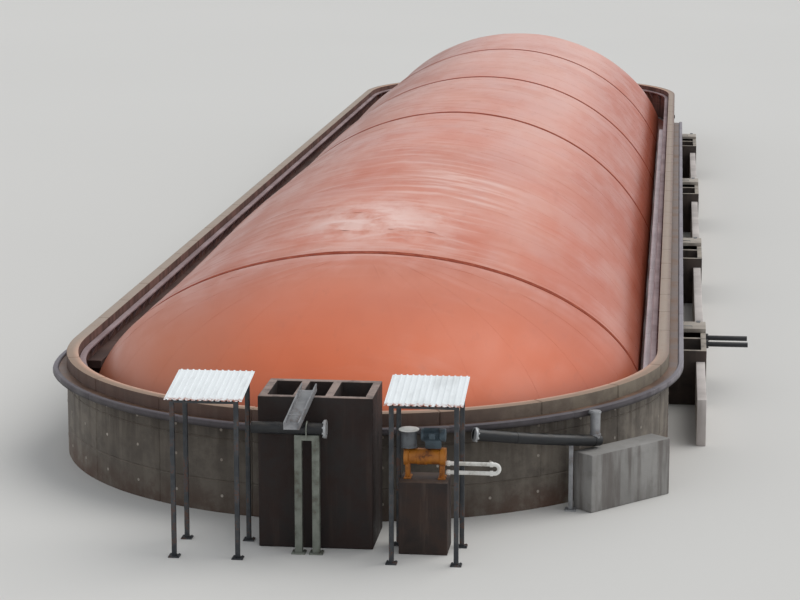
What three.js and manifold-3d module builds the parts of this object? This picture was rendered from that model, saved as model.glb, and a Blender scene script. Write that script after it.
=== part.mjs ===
// A long concrete biogas digester with rounded ends and an inflated membrane roof.
// It is a 1:2 scale model: sizes are written as real metres and halved by m().
// The long axis is Y, the feed end faces -Y, +Z is up and z = 0 is the lowest ground.
import * as THREE from "three";
import { mergeVertices } from "three/addons/utils/BufferGeometryUtils.js";
import Module from "manifold-3d";

const wasm = await Module();
wasm.setup();

const SCALE = 1 / 2;
const m = (metres) => metres * 1000 * SCALE;

// Driving dimensions, in real metres turned into model millimetres
const GAP = 0.3;
const HALF_WIDTH = m(7.45);
const STRAIGHT = m(60);
const BAY = m(12.5);
const FRONT_RUN = m(0.5);
const RUN_PAST_LAST_LINE = m(0.3);
const WALL_HEIGHT = m(2.5);
const WALL_THICK = m(0.3);
const FLOOR_THICK = m(0.3);
const GUTTER_REACH = m(0.36);
const GUTTER_DEPTH = m(0.16);
const GUTTER_FLOOR = m(0.08);
const GUTTER_TOP = WALL_HEIGHT - m(0.26);
const KERB_THICK = m(0.13);
const LEDGE_WIDTH = m(0.36);
const LEDGE_TOP = WALL_HEIGHT - m(0.62);
const LEDGE_THICK = m(0.2);
const SHEET = m(0.06);
const FOOT_HALF_WIDTH = m(6.8);
const SKIRT_TOP = WALL_HEIGHT - m(1.45);
const FRONT_ARCH = { crown: WALL_HEIGHT + m(2.28), width: m(7.0), rise: m(3.84) };
const FULL_ARCH = { crown: WALL_HEIGHT + m(3.0), width: m(7.2), rise: m(6.14) };
const REAR_ARCH = { crown: WALL_HEIGHT + m(2.87), width: m(7.2), rise: m(5.96) };
const BULGE_SHARE = 0.01;
const ROOF_LINE_WIDTH = m(0.22);
const ROOF_LINE_THICK = m(0.03);
const ARC_STEP = THREE.MathUtils.degToRad(6);

const HALF_STRAIGHT = STRAIGHT / 2;
const INNER = -WALL_THICK / 2;
const OUTER = WALL_THICK / 2;
const GUTTER_EDGE = OUTER + GAP + GUTTER_REACH;
const FRONT_EDGE_Y = -HALF_STRAIGHT - HALF_WIDTH - GUTTER_EDGE;
const FIRST_LINE_Y = -HALF_STRAIGHT + FRONT_RUN;
const LINES = [0, 2, 3, 4].map((bays) => FIRST_LINE_Y + bays * BAY);
const LAST_LINE_Y = LINES[LINES.length - 1];
const RUN_END = LAST_LINE_Y + RUN_PAST_LAST_LINE;

// Materials, with the photograph's colours
function finish(color, roughness, metalness = 0) {
  return new THREE.MeshStandardMaterial({ color, roughness, metalness });
}
const membrane = finish(0xd4826a, 0.55);
const lineDark = finish(0x5a3a34, 0.7);
const concrete = finish(0xa89e90, 0.9);
const gutterConcrete = finish(0x7f7a74, 0.9);
const stainedConcrete = finish(0x463c38, 0.95);
const paleConcrete = finish(0xb9b2a8, 0.9);
const whiteSheet = finish(0xe8ecef, 0.5);
const darkSteel = finish(0x33363a, 0.6, 0.5);
const greySteel = finish(0x8a9092, 0.5, 0.6);
const blackPipe = finish(0x1d1f22, 0.45);
const motorBlue = finish(0x35577a, 0.5, 0.3);
const pumpOrange = finish(0xb5702a, 0.6, 0.2);

const group = new THREE.Group();

function addMesh(name, geometry, material) {
  const mesh = new THREE.Mesh(geometry, material);
  mesh.name = name;
  group.add(mesh);
  return mesh;
}

// Closed bodies from rings and grids of points

// Joins equal corners, drops flat triangles and turns the faces outwards.
function closedBody(positions, triangles) {
  const raw = new THREE.BufferGeometry();
  raw.setAttribute("position", new THREE.Float32BufferAttribute(positions, 3));
  raw.setIndex(triangles);
  const merged = mergeVertices(raw, 0.01);
  const at = merged.getAttribute("position");
  const index = merged.getIndex().array;
  const kept = [];
  let volume = 0;
  const a = new THREE.Vector3();
  const b = new THREE.Vector3();
  const c = new THREE.Vector3();
  for (let i = 0; i < index.length; i += 3) {
    const [p, q, r] = [index[i], index[i + 1], index[i + 2]];
    if (p === q || q === r || r === p) continue;
    kept.push(p, q, r);
    a.fromBufferAttribute(at, p);
    b.fromBufferAttribute(at, q);
    c.fromBufferAttribute(at, r);
    volume += a.dot(b.cross(c));
  }
  if (volume < 0) {
    for (let i = 0; i < kept.length; i += 3) [kept[i], kept[i + 1]] = [kept[i + 1], kept[i]];
  }
  merged.setIndex(kept);
  merged.computeVertexNormals();
  return merged;
}

// Sweeps a flat section through stations; place(station, u, v) gives each corner.
function sweep(section, stations, place) {
  const positions = [];
  const triangles = [];
  const count = section.length;
  for (const station of stations) {
    for (const [u, v] of section) positions.push(...place(station, u, v));
  }
  for (let s = 0; s + 1 < stations.length; s++) {
    for (let k = 0; k < count; k++) {
      const a = s * count + k;
      const b = s * count + ((k + 1) % count);
      triangles.push(a, b, b + count, a, b + count, a + count);
    }
  }
  const contour = section.map(([u, v]) => new THREE.Vector2(u, v));
  const last = (stations.length - 1) * count;
  for (const [p, q, r] of THREE.ShapeUtils.triangulateShape(contour, [])) {
    triangles.push(p, r, q, last + p, last + q, last + r);
  }
  return closedBody(positions, triangles);
}

// A sheet with thickness, from a grid of outer points and one of inner points.
function shell(outer, inner) {
  const rows = outer.length;
  const columns = outer[0].length;
  const layer = rows * columns;
  const positions = [...outer.flat(2), ...inner.flat(2)];
  const triangles = [];
  const id = (i, j) => i * columns + j;
  const quad = (a, b, c, d) => triangles.push(a, b, c, a, c, d);
  for (let i = 0; i + 1 < rows; i++) {
    for (let j = 0; j + 1 < columns; j++) {
      const corners = [id(i, j), id(i + 1, j), id(i + 1, j + 1), id(i, j + 1)];
      quad(...corners);
      quad(...corners.map((n) => n + layer).reverse());
    }
  }
  for (let i = 0; i + 1 < rows; i++) {
    quad(id(i + 1, 0), id(i, 0), id(i, 0) + layer, id(i + 1, 0) + layer);
    const e = columns - 1;
    quad(id(i, e), id(i + 1, e), id(i + 1, e) + layer, id(i, e) + layer);
  }
  for (let j = 0; j + 1 < columns; j++) {
    quad(id(0, j), id(0, j + 1), id(0, j + 1) + layer, id(0, j) + layer);
    const e = rows - 1;
    quad(id(e, j + 1), id(e, j), id(e, j) + layer, id(e, j + 1) + layer);
  }
  return closedBody(positions, triangles);
}

function box(x0, x1, y0, y1, z0, z1) {
  const geometry = new THREE.BoxGeometry(x1 - x0, y1 - y0, z1 - z0);
  geometry.translate((x0 + x1) / 2, (y0 + y1) / 2, (z0 + z1) / 2);
  return geometry;
}

// A round bar or pipe between two points.
function bar(from, to, radius, sides = 16) {
  const start = new THREE.Vector3(...from);
  const along = new THREE.Vector3(...to).sub(start);
  const geometry = new THREE.CylinderGeometry(radius, radius, along.length(), sides);
  geometry.translate(0, along.length() / 2, 0);
  const turn = new THREE.Quaternion().setFromUnitVectors(
    new THREE.Vector3(0, 1, 0),
    along.clone().normalize(),
  );
  geometry.applyQuaternion(turn);
  geometry.translate(...from);
  return geometry;
}

// Boolean work on closed three.js geometries

function toSolid(geometry) {
  const bare = geometry.clone();
  bare.deleteAttribute("normal");
  bare.deleteAttribute("uv");
  const merged = mergeVertices(bare, 0.001);
  return new wasm.Manifold(
    new wasm.Mesh({
      numProp: 3,
      vertProperties: new Float32Array(merged.getAttribute("position").array),
      triVerts: new Uint32Array(merged.getIndex().array),
    }),
  );
}

function fromSolid(solid) {
  const mesh = solid.getMesh();
  const geometry = new THREE.BufferGeometry();
  geometry.setAttribute("position", new THREE.Float32BufferAttribute(mesh.vertProperties, 3));
  geometry.setIndex([...mesh.triVerts]);
  geometry.computeVertexNormals();
  return geometry;
}

function join(...geometries) {
  const solids = geometries.map(toSolid);
  return fromSolid(solids.slice(1).reduce((whole, piece) => whole.add(piece), solids[0]));
}

function cut(body, ...tools) {
  return fromSolid(tools.map(toSolid).reduce((rest, tool) => rest.subtract(tool), toSolid(body)));
}

// The plan: two straight sides and two half circles

function arcStations(end, fromAngle, toAngle) {
  const steps = Math.round(Math.abs(toAngle - fromAngle) / ARC_STEP);
  const trim = GAP / 2 / HALF_WIDTH;
  const stations = [];
  for (let i = 0; i <= steps; i++) {
    const angle = THREE.MathUtils.lerp(fromAngle + trim, toAngle - trim, i / steps);
    const normal = [Math.cos(angle), Math.sin(angle)];
    stations.push({ centre: [0, end * HALF_STRAIGHT], radius: HALF_WIDTH, normal });
  }
  return stations;
}

function straightStations(side, to = HALF_STRAIGHT) {
  const ends = [GAP / 2 - HALF_STRAIGHT, to - GAP / 2];
  return ends.map((y) => ({ centre: [0, y], radius: HALF_WIDTH, normal: [side, 0] }));
}

// Places a section's offset from the wall's middle line, outwards, and its height.
function onPlan({ centre, radius, normal }, offset, height) {
  const reach = radius + offset;
  return [centre[0] + normal[0] * reach, centre[1] + normal[1] * reach, height];
}

function rectangle(u0, u1, v0, v1) {
  return [[u0, v0], [u1, v0], [u1, v1], [u0, v1]];
}

const QUARTER = Math.PI / 2;
const END_QUARTERS = [
  ["front_left", -1, 2 * QUARTER],
  ["front_right", -1, 3 * QUARTER],
  ["rear_right", 1, 0],
  ["rear_left", 1, QUARTER],
];

// Tank floor and walls
function tankFloor() {
  const stations = [...arcStations(1, 0, Math.PI), ...arcStations(-1, Math.PI, 2 * Math.PI)];
  const corners = stations.map((station) => onPlan(station, INNER - GAP, 0));
  const outline = new THREE.Shape(corners.map(([x, y]) => new THREE.Vector2(x, y)));
  return new THREE.ExtrudeGeometry(outline, { depth: FLOOR_THICK, bevelEnabled: false });
}
addMesh("tank_floor", tankFloor(), concrete);

const wallSection = rectangle(INNER, OUTER, 0, WALL_HEIGHT);
addMesh("wall_left", sweep(wallSection, straightStations(-1), onPlan), concrete);
addMesh("wall_right", sweep(wallSection, straightStations(1), onPlan), concrete);
for (const [name, end, start] of END_QUARTERS) {
  const stations = arcStations(end, start, start + QUARTER);
  addMesh(`wall_${name}`, sweep(wallSection, stations, onPlan), concrete);
}

// Rain gutter with its outer kerb, carried on the wall's outer face
const GUTTER_BASE = GUTTER_TOP - GUTTER_DEPTH;
const CHANNEL_FLOOR = GUTTER_BASE + GUTTER_FLOOR;
const gutterSection = rectangle(OUTER + GAP, GUTTER_EDGE, GUTTER_BASE, CHANNEL_FLOOR);
const kerbSection = rectangle(
  GUTTER_EDGE - KERB_THICK,
  GUTTER_EDGE,
  CHANNEL_FLOOR + GAP,
  GUTTER_TOP,
);

// At its left end the kerb closes in on the wall over a few steps of the arc.
const CLOSING_STEPS = 3;
const frontArc = arcStations(-1, Math.PI, 2 * Math.PI).map((station, i) => ({
  ...station,
  closed: Math.max(0, 1 - i / CLOSING_STEPS),
}));

function closingIn(station, offset, height) {
  const drawnIn = offset - station.closed * (GUTTER_REACH - KERB_THICK);
  return onPlan(station, Math.max(OUTER + GAP, drawnIn), height);
}
const rightRun = straightStations(1, RUN_END);
addMesh("gutter_front", sweep(gutterSection, frontArc, closingIn), gutterConcrete);
addMesh("gutter_front_kerb", sweep(kerbSection, frontArc, closingIn), gutterConcrete);
addMesh("gutter_right", sweep(gutterSection, rightRun, onPlan), gutterConcrete);
addMesh("gutter_right_kerb", sweep(kerbSection, rightRun, onPlan), gutterConcrete);

// Inner ledges along the straight sides
const ledgeSection = rectangle(
  INNER - GAP - LEDGE_WIDTH,
  INNER - GAP,
  LEDGE_TOP - LEDGE_THICK,
  LEDGE_TOP,
);
addMesh("ledge_left", sweep(ledgeSection, straightStations(-1, RUN_END), onPlan), stainedConcrete);
addMesh("ledge_right", sweep(ledgeSection, straightStations(1, RUN_END), onPlan), paleConcrete);

// Membrane roof: a barrel vault with half a dome at each end
const SKIRT_EDGE = HALF_WIDTH + INNER - GAP;
const ARCH_STEPS = 12;

function shareBetween(y, from, to) {
  return THREE.MathUtils.clamp((y - from) / (to - from), 0, 1);
}

// The section is part of an ellipse: flat at the front, full from the second line on
// and a little lower again at the rear.
function archAt(y) {
  const growth = Math.sin(shareBetween(y, LINES[0], LINES[1]) * QUARTER);
  const sinking = shareBetween(y, LAST_LINE_Y, HALF_STRAIGHT);
  const at = (key) => {
    const grown = THREE.MathUtils.lerp(FRONT_ARCH[key], FULL_ARCH[key], growth);
    return THREE.MathUtils.lerp(grown, REAR_ARCH[key], sinking);
  };
  return { crown: at("crown"), width: at("width"), rise: at("rise") };
}

// How far the sheet stands up between two neighbouring lines, most at mid-span
function bulgeAt(y) {
  const next = LINES.findIndex((line) => line > y);
  if (next < 1) return 0;
  const span = LINES[next] - LINES[next - 1];
  const share = (y - LINES[next - 1]) / span;
  return BULGE_SHARE * span * Math.sin(share * Math.PI) ** 2;
}

// Half the section, from the crown over the foot and the hem to the wall.
function roofProfile(y, inset) {
  const { crown, width, rise } = archAt(y);
  const bulge = bulgeAt(y);
  const half = FOOT_HALF_WIDTH - inset;
  const points = [];
  for (let i = 0; i <= ARCH_STEPS; i++) {
    const share = Math.sin((i / ARCH_STEPS) * QUARTER);
    const fall = rise * (1 - Math.sqrt(1 - ((FOOT_HALF_WIDTH * share) / width) ** 2));
    points.push([half * share, crown - fall + bulge * (1 - share ** 4) - inset]);
  }
  return [...points, [half, SKIRT_TOP - inset], [SKIRT_EDGE, SKIRT_TOP - inset]];
}

function crossSection(y, inset) {
  const profile = roofProfile(y, inset);
  const left = profile.slice(1).reverse().map(([x, z]) => [-x, y, z]);
  return [...left, ...profile.map(([x, z]) => [x, y, z])];
}

function vaultBay(stations) {
  const outer = stations.map((y) => crossSection(y, 0));
  const inner = stations.map((y) => crossSection(y, SHEET));
  return shell(outer, inner);
}

// A flat band laid over the sheet, which shares the sheet's own facets.
function roofLine(y) {
  const stations = [y - ROOF_LINE_WIDTH / 2, y + ROOF_LINE_WIDTH / 2];
  const band = (lift) => stations.map((at) => crossSection(at, -lift).slice(2, -2));
  return shell(band(GAP + ROOF_LINE_THICK), band(GAP));
}

const CAP_STEPS = Math.round(Math.PI / ARC_STEP);

function capGrid(end, inset) {
  const profile = roofProfile(end * HALF_STRAIGHT, inset);
  const rows = [];
  for (let i = 0; i <= CAP_STEPS; i++) {
    const angle = (i / CAP_STEPS) * Math.PI;
    rows.push(profile.map(([reach, height]) => {
      const y = HALF_STRAIGHT + GAP / 2 + reach * Math.sin(angle);
      return [reach * Math.cos(angle), end * y, height];
    }));
  }
  return rows;
}

function roofCap(end) {
  return shell(capGrid(end, 0), capGrid(end, SHEET));
}

// The vault's joints, with a row of corners under each edge of a dark line
const LINE_HALF = ROOF_LINE_WIDTH / 2;
const JOINT_OFFSET = LINE_HALF + GAP;
const JOINTS = [-HALF_STRAIGHT, ...LINES.slice(1).map((y) => y + JOINT_OFFSET), HALF_STRAIGHT];

function bayStations(from, to) {
  const edges = LINES.flatMap((y) => [y - LINE_HALF, y + LINE_HALF]);
  const steps = Math.round((to - from) / (BAY / 3));
  const inside = edges.filter((y) => y > from + GAP && y < to - GAP);
  for (let i = 1; i < steps; i++) {
    const y = THREE.MathUtils.lerp(from, to, i / steps);
    if (LINES.every((line) => Math.abs(y - line) > BAY / 8)) inside.push(y);
  }
  return [from + GAP / 2, ...inside.sort((a, b) => a - b), to - GAP / 2];
}

addMesh("roof_front_cap", roofCap(-1), membrane);
for (let i = 1; i < JOINTS.length; i++) {
  addMesh(`roof_bay_${i}`, vaultBay(bayStations(JOINTS[i - 1], JOINTS[i])), membrane);
}
addMesh("roof_rear_cap", roofCap(1), membrane);
LINES.forEach((y, i) => addMesh(`roof_line_${i + 1}`, roofLine(y), lineDark));

// Side chambers: open concrete boxes at the foot of the right wall, part covered by a slab
const CHAMBER_COUNT = 4;
const CHAMBER_START = FIRST_LINE_Y + m(4.2);
const CHAMBER_PITCH = m(14.45);
const CHAMBER_LENGTH = m(3.4);
const CHAMBER_IN = HALF_WIDTH + OUTER + GAP;
const CHAMBER_OUT = HALF_WIDTH + m(1.15);
const CHAMBER_TOP = WALL_HEIGHT - m(1.0);
const CHAMBER_WALL = m(0.15);
const COVER_LENGTH = m(1.0);
const COVER_THICK = m(0.12);
const SIDE_KERB_IN = HALF_WIDTH + m(0.87);
const SIDE_KERB_OUT = HALF_WIDTH + m(1.11);
const SIDE_KERB_TOP = WALL_HEIGHT - m(1.3);
const SIDE_KERB_START = FIRST_LINE_Y - m(0.3);

function chamber(y0) {
  const y1 = y0 + CHAMBER_LENGTH;
  const body = box(CHAMBER_IN, CHAMBER_OUT, y0, y1, 0, CHAMBER_TOP);
  const middle = (y0 + y1) / 2;
  const well = (from, to) => box(
    CHAMBER_IN + CHAMBER_WALL,
    CHAMBER_OUT - CHAMBER_WALL,
    from,
    to,
    CHAMBER_WALL,
    CHAMBER_TOP + CHAMBER_WALL,
  );
  return cut(
    body,
    well(y0 + CHAMBER_WALL, middle - CHAMBER_WALL / 2),
    well(middle + CHAMBER_WALL / 2, y1 - CHAMBER_WALL),
  );
}

function chamberCover(y0) {
  const y1 = y0 + CHAMBER_LENGTH;
  const base = CHAMBER_TOP + GAP;
  return box(CHAMBER_IN, CHAMBER_OUT, y1 - COVER_LENGTH, y1, base, base + COVER_THICK);
}

for (let i = 0; i < CHAMBER_COUNT; i++) {
  const start = CHAMBER_START + i * CHAMBER_PITCH;
  const kerbFrom = i === 0 ? SIDE_KERB_START : start - CHAMBER_PITCH + CHAMBER_LENGTH + GAP;
  const kerb = box(SIDE_KERB_IN, SIDE_KERB_OUT, kerbFrom, start - GAP, 0, SIDE_KERB_TOP);
  addMesh(`chamber_${i + 1}`, chamber(start), stainedConcrete);
  addMesh(`chamber_${i + 1}_cover`, chamberCover(start), paleConcrete);
  addMesh(`side_kerb_${i + 1}`, kerb, paleConcrete);
}

// Two pipes that stick out of the first chamber, each with a flange at the wall
const STUB_RADIUS = m(0.07);
const STUB_FLANGE_RADIUS = m(0.125);
const STUB_FLANGE_THICK = m(0.06);
const STUB_REACH = m(1.15);
const STUB_HEIGHT = CHAMBER_TOP - m(0.2);
const STUB_SHARES = [0.55, 0.8];

function stubPipe(share) {
  const start = CHAMBER_OUT + GAP;
  const at = (x) => [x, CHAMBER_START + share * CHAMBER_LENGTH, STUB_HEIGHT];
  const pipe = bar(at(start), at(start + STUB_REACH), STUB_RADIUS);
  return join(pipe, bar(at(start), at(start + STUB_FLANGE_THICK), STUB_FLANGE_RADIUS));
}
STUB_SHARES.forEach((share, i) => {
  addMesh(`chamber_1_pipe_${i + 1}`, stubPipe(share), blackPipe);
});

// Feed box in front of the gutter, with three compartments and a sloping channel
const FEED_LEFT = m(-1.19);
const FEED_RIGHT = m(1.31);
const FEED_BACK = FRONT_EDGE_Y - GAP;
const FEED_DEPTH = m(1.74);
const FEED_FRONT = FEED_BACK - FEED_DEPTH;
const FEED_TOP = WALL_HEIGHT + m(0.86);
const FEED_WALL = m(0.18);
const FEED_WELL_DEPTH = m(1.6);
const FEED_PARTITIONS = [m(-0.36), m(0.34)];

function feedBox() {
  const body = box(FEED_LEFT, FEED_RIGHT, FEED_FRONT, FEED_BACK, 0, FEED_TOP);
  const lefts = [FEED_LEFT + FEED_WALL, ...FEED_PARTITIONS.map((x) => x + FEED_WALL / 2)];
  const rights = [...FEED_PARTITIONS.map((x) => x - FEED_WALL / 2), FEED_RIGHT - FEED_WALL];
  const wells = lefts.map((left, i) => box(
    left,
    rights[i],
    FEED_FRONT + FEED_WALL,
    FEED_BACK - FEED_WALL,
    FEED_TOP - FEED_WELL_DEPTH,
    FEED_TOP + FEED_WALL,
  ));
  return cut(body, ...wells);
}
addMesh("feed_box", feedBox(), stainedConcrete);

// An open channel: a U section that slopes down over the box's front rim
const CHANNEL_WIDTH = m(0.34);
const CHANNEL_SIDE = m(0.16);
const CHANNEL_SHEET = m(0.03);
const CHANNEL_TO = [m(-0.3), FEED_FRONT - m(1.0), FEED_TOP - m(0.48)];
const CHANNEL_AT_RIM = [m(-0.13), FEED_FRONT, FEED_TOP + 2 * GAP];
const CHANNEL_PAST_RIM = 0.2;

function feedChannel() {
  const half = CHANNEL_WIDTH / 2;
  const section = [
    [-half, 0],
    [half, 0],
    [half, CHANNEL_SIDE],
    [half - CHANNEL_SHEET, CHANNEL_SIDE],
    [half - CHANNEL_SHEET, CHANNEL_SHEET],
    [CHANNEL_SHEET - half, CHANNEL_SHEET],
    [CHANNEL_SHEET - half, CHANNEL_SIDE],
    [-half, CHANNEL_SIDE],
  ];
  const along = (i) => CHANNEL_AT_RIM[i] + CHANNEL_PAST_RIM * (CHANNEL_AT_RIM[i] - CHANNEL_TO[i]);
  const place = ([x, y, z], u, v) => [x + u, y, z + v];
  return sweep(section, [[along(0), along(1), along(2)], CHANNEL_TO], place);
}
addMesh("feed_channel", feedChannel(), greySteel);

// Feed pipe: a stub with a flange, carried by a trestle in front of the box
const FEED_PIPE_RADIUS = m(0.13);
const FLANGE_RADIUS = m(0.2);
const FLANGE_THICK = m(0.05);
const FEED_PIPE_Y = FEED_FRONT - m(0.38);
const FEED_PIPE_Z = WALL_HEIGHT + m(0.26);
const FEED_PIPE_FROM = m(-1.26);
const FEED_PIPE_TO = m(0.36);
const TRESTLE_POST = m(0.16);
const TRESTLE_HEAD = m(0.12);
const TRESTLE_LEFT = m(-0.33);
const TRESTLE_RIGHT = m(0.05);

function feedPipe() {
  const at = (x) => [x, FEED_PIPE_Y, FEED_PIPE_Z];
  const pipe = bar(at(FEED_PIPE_FROM), at(FEED_PIPE_TO), FEED_PIPE_RADIUS);
  const flange = bar(at(FEED_PIPE_TO - FLANGE_THICK), at(FEED_PIPE_TO), FLANGE_RADIUS);
  return join(pipe, flange);
}

function trestle() {
  const top = FEED_PIPE_Z - FEED_PIPE_RADIUS - GAP;
  const y0 = FEED_PIPE_Y - TRESTLE_POST / 2;
  const y1 = y0 + TRESTLE_POST;
  const post = (x) => box(x, x + TRESTLE_POST, y0, y1, 0, top);
  const head = box(TRESTLE_LEFT, TRESTLE_RIGHT + TRESTLE_POST, y0, y1, top - TRESTLE_HEAD, top);
  return join(post(TRESTLE_LEFT), post(TRESTLE_RIGHT), head);
}
addMesh("feed_pipe", feedPipe(), blackPipe);
addMesh("feed_pipe_trestle", trestle(), greySteel);

// Shelters: a sheet roof that rises to the tank, on a light steel frame, beside the feed box
const SHELTER_WIDTH = m(1.68);
const SHELTER_NEAR = FIRST_LINE_Y - m(11.3);
const SHELTER_FAR = SHELTER_NEAR + m(1.7);
const SHELTER_TOP = WALL_HEIGHT + m(1.0);
const SHELTER_RISE = m(0.28);
const SHELTER_SHEET = m(0.06);
const POST = m(0.1);
const SHELTER_RAIL = m(0.06);
const SHELTER_LEFTS = { left: m(-3.02), right: m(1.67) };

// A bar with upright ends whose top follows the shelter's slope, down by a given drop.
function slopedBar(x0, x1, y0, y1, drop, depth) {
  const top = (y) => {
    const share = (y - SHELTER_NEAR) / (SHELTER_FAR - SHELTER_NEAR);
    return SHELTER_TOP + SHELTER_RISE * share - drop;
  };
  const ends = [y0, y1].map((y) => ({ y, high: top(y), low: depth ? top(y) - depth : 0 }));
  const section = [[x0, 0], [x1, 0], [x1, 1], [x0, 1]];
  return sweep(section, ends, ({ y, high, low }, x, up) => [x, y, up ? high : low]);
}

function shelterRoof(x0) {
  return slopedBar(x0, x0 + SHELTER_WIDTH, SHELTER_NEAR, SHELTER_FAR, 0, SHELTER_SHEET);
}

function shelterFrame(x0) {
  const under = SHELTER_SHEET + GAP;
  const left = x0 + POST;
  const right = x0 + SHELTER_WIDTH - 2 * POST;
  const near = SHELTER_NEAR + POST;
  const far = SHELTER_FAR - 2 * POST;
  const post = (x, y) => slopedBar(x, x + POST, y, y + POST, under, 0);
  const crossRail = (y) => slopedBar(left, right + POST, y, y + POST, under, SHELTER_RAIL);
  const sideRail = (x) => slopedBar(x, x + POST, near, far + POST, under, SHELTER_RAIL);
  const posts = [post(left, near), post(right, near), post(left, far), post(right, far)];
  return join(...posts, crossRail(near), crossRail(far), sideRail(left), sideRail(right));
}

for (const [side, x0] of Object.entries(SHELTER_LEFTS)) {
  addMesh(`shelter_${side}_roof`, shelterRoof(x0), whiteSheet);
  addMesh(`shelter_${side}_frame`, shelterFrame(x0), darkSteel);
}

// Pump under the right shelter, on a plinth
const PUMP_Y = FIRST_LINE_Y - m(10.0);
const PUMP_LEFT = m(1.97);
const PUMP_RIGHT = m(2.87);
const PLINTH_TOP = WALL_HEIGHT - m(0.9);
const PLINTH_DEPTH = m(0.9);
const PLINTH_EDGE = m(0.08);
const PUMP_Z = WALL_HEIGHT - m(0.43);
const PUMP_RADIUS = m(0.2);
const PUMP_FOOT = m(0.16);
const PUMP_FOOT_HALF = m(0.16);
const MOTOR_LEFT = m(2.33);
const MOTOR_RADIUS = m(0.15);
const MOTOR_Z = WALL_HEIGHT + m(0.05);
const SADDLE_HALF = m(0.105);
const SADDLE_INSET = m(0.1);
const COVER_X = m(2.07);
const COVER_RADIUS = m(0.22);
const COVER_Z = WALL_HEIGHT + m(0.2);
const COVER_DISC = m(0.05);
const COVER_DRUM_RADIUS = m(0.18);

function plinth() {
  const left = PUMP_LEFT - PLINTH_EDGE;
  const front = PUMP_Y - PLINTH_DEPTH / 2;
  return box(left, PUMP_RIGHT + PLINTH_EDGE, front, front + PLINTH_DEPTH, 0, PLINTH_TOP);
}

function pumpBody() {
  const at = (x) => [x, PUMP_Y, PUMP_Z];
  const front = PUMP_Y - PUMP_FOOT_HALF;
  const rear = PUMP_Y + PUMP_FOOT_HALF;
  const foot = (x) => box(x, x + PUMP_FOOT, front, rear, PLINTH_TOP + GAP, PUMP_Z);
  const barrel = bar(at(PUMP_LEFT), at(PUMP_RIGHT), PUMP_RADIUS, 20);
  return join(barrel, foot(PUMP_LEFT), foot(PUMP_RIGHT - PUMP_FOOT));
}

function pumpMotor() {
  const at = (x) => [x, PUMP_Y, MOTOR_Z];
  const saddle = box(
    MOTOR_LEFT + SADDLE_INSET,
    PUMP_RIGHT - SADDLE_INSET,
    PUMP_Y - SADDLE_HALF,
    PUMP_Y + SADDLE_HALF,
    PUMP_Z + PUMP_RADIUS + GAP,
    MOTOR_Z,
  );
  return join(bar(at(MOTOR_LEFT), at(PUMP_RIGHT), MOTOR_RADIUS, 20), saddle);
}

function pumpCover() {
  const at = (z) => [COVER_X, PUMP_Y, z];
  const drum = bar(at(PUMP_Z + PUMP_RADIUS + GAP), at(COVER_Z), COVER_DRUM_RADIUS, 20);
  return join(drum, bar(at(COVER_Z - COVER_DISC), at(COVER_Z), COVER_RADIUS, 24));
}
addMesh("pump_plinth", plinth(), stainedConcrete);
addMesh("pump_body", pumpBody(), pumpOrange);
addMesh("pump_motor", pumpMotor(), motorBlue);
addMesh("pump_cover", pumpCover(), whiteSheet);

// A round pipe along a curve
function pipeAlong(curve, radius, steps) {
  const section = new THREE.Shape().absarc(0, 0, radius, 0, 2 * Math.PI, false);
  return new THREE.ExtrudeGeometry(section, { steps, extrudePath: curve, curveSegments: 6 });
}

// White bend: out of the pump, round a half circle and back to its foot
const BEND_PIPE_RADIUS = m(0.045);
const BEND_TOP = PUMP_Z - m(0.14);
const BEND_LOW = BEND_TOP - m(0.2);
const BEND_REACH = m(3.92);
const BEND_STEPS = 28;
// Handle length of a cubic curve that follows a half circle, in radii
const HALF_CIRCLE_HANDLE = 4 / 3;

function bendPipe() {
  const bend = (BEND_TOP - BEND_LOW) / 2;
  const curve = new THREE.CurvePath();
  const at = (x, z) => new THREE.Vector3(x, PUMP_Y, z);
  const handle = bend * HALF_CIRCLE_HANDLE;
  curve.add(new THREE.LineCurve3(at(PUMP_RIGHT + GAP, BEND_TOP), at(BEND_REACH, BEND_TOP)));
  curve.add(new THREE.CubicBezierCurve3(
    at(BEND_REACH, BEND_TOP),
    at(BEND_REACH + handle, BEND_TOP),
    at(BEND_REACH + handle, BEND_LOW),
    at(BEND_REACH, BEND_LOW),
  ));
  curve.add(new THREE.LineCurve3(at(BEND_REACH, BEND_LOW), at(PUMP_RIGHT + GAP, BEND_LOW)));
  return pipeAlong(curve, BEND_PIPE_RADIUS, BEND_STEPS);
}
addMesh("pump_bend_pipe", bendPipe(), whiteSheet);

// Gas pipe round the front right of the rim, with its riser and post
const GAS_RADIUS = m(0.13);
const GAS_ARC = GUTTER_EDGE + HALF_WIDTH + m(0.17);
const GAS_FROM = THREE.MathUtils.degToRad(-66);
const GAS_TO = THREE.MathUtils.degToRad(-42.1);
const GAS_START_Z = WALL_HEIGHT - m(0.44);
const GAS_END_Z = WALL_HEIGHT - m(0.99);
const GAS_STEPS = 10;
const GAS_FLANGE_RADIUS = m(0.16);
const GAS_FLANGE_SHARE = 0.015;
const GAS_POST_SHARE = 0.745;
const GAS_POST_HALF = m(0.05);
const RISER_RADIUS = m(0.115);
const RISER_TOP = GUTTER_TOP - m(0.005);
const RISER_BACK = m(0.13);
const RISER_STUB_RADIUS = m(0.06);

function gasPoint(share) {
  const angle = THREE.MathUtils.lerp(GAS_FROM, GAS_TO, share);
  const x = GAS_ARC * Math.cos(angle);
  const y = GAS_ARC * Math.sin(angle) - HALF_STRAIGHT;
  return new THREE.Vector3(x, y, THREE.MathUtils.lerp(GAS_START_Z, GAS_END_Z, share));
}

class GasCurve extends THREE.Curve {
  constructor(reach = 1) {
    super();
    this.reach = reach;
  }

  getPoint(share, target = new THREE.Vector3()) {
    return target.copy(gasPoint(share * this.reach));
  }
}

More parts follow.
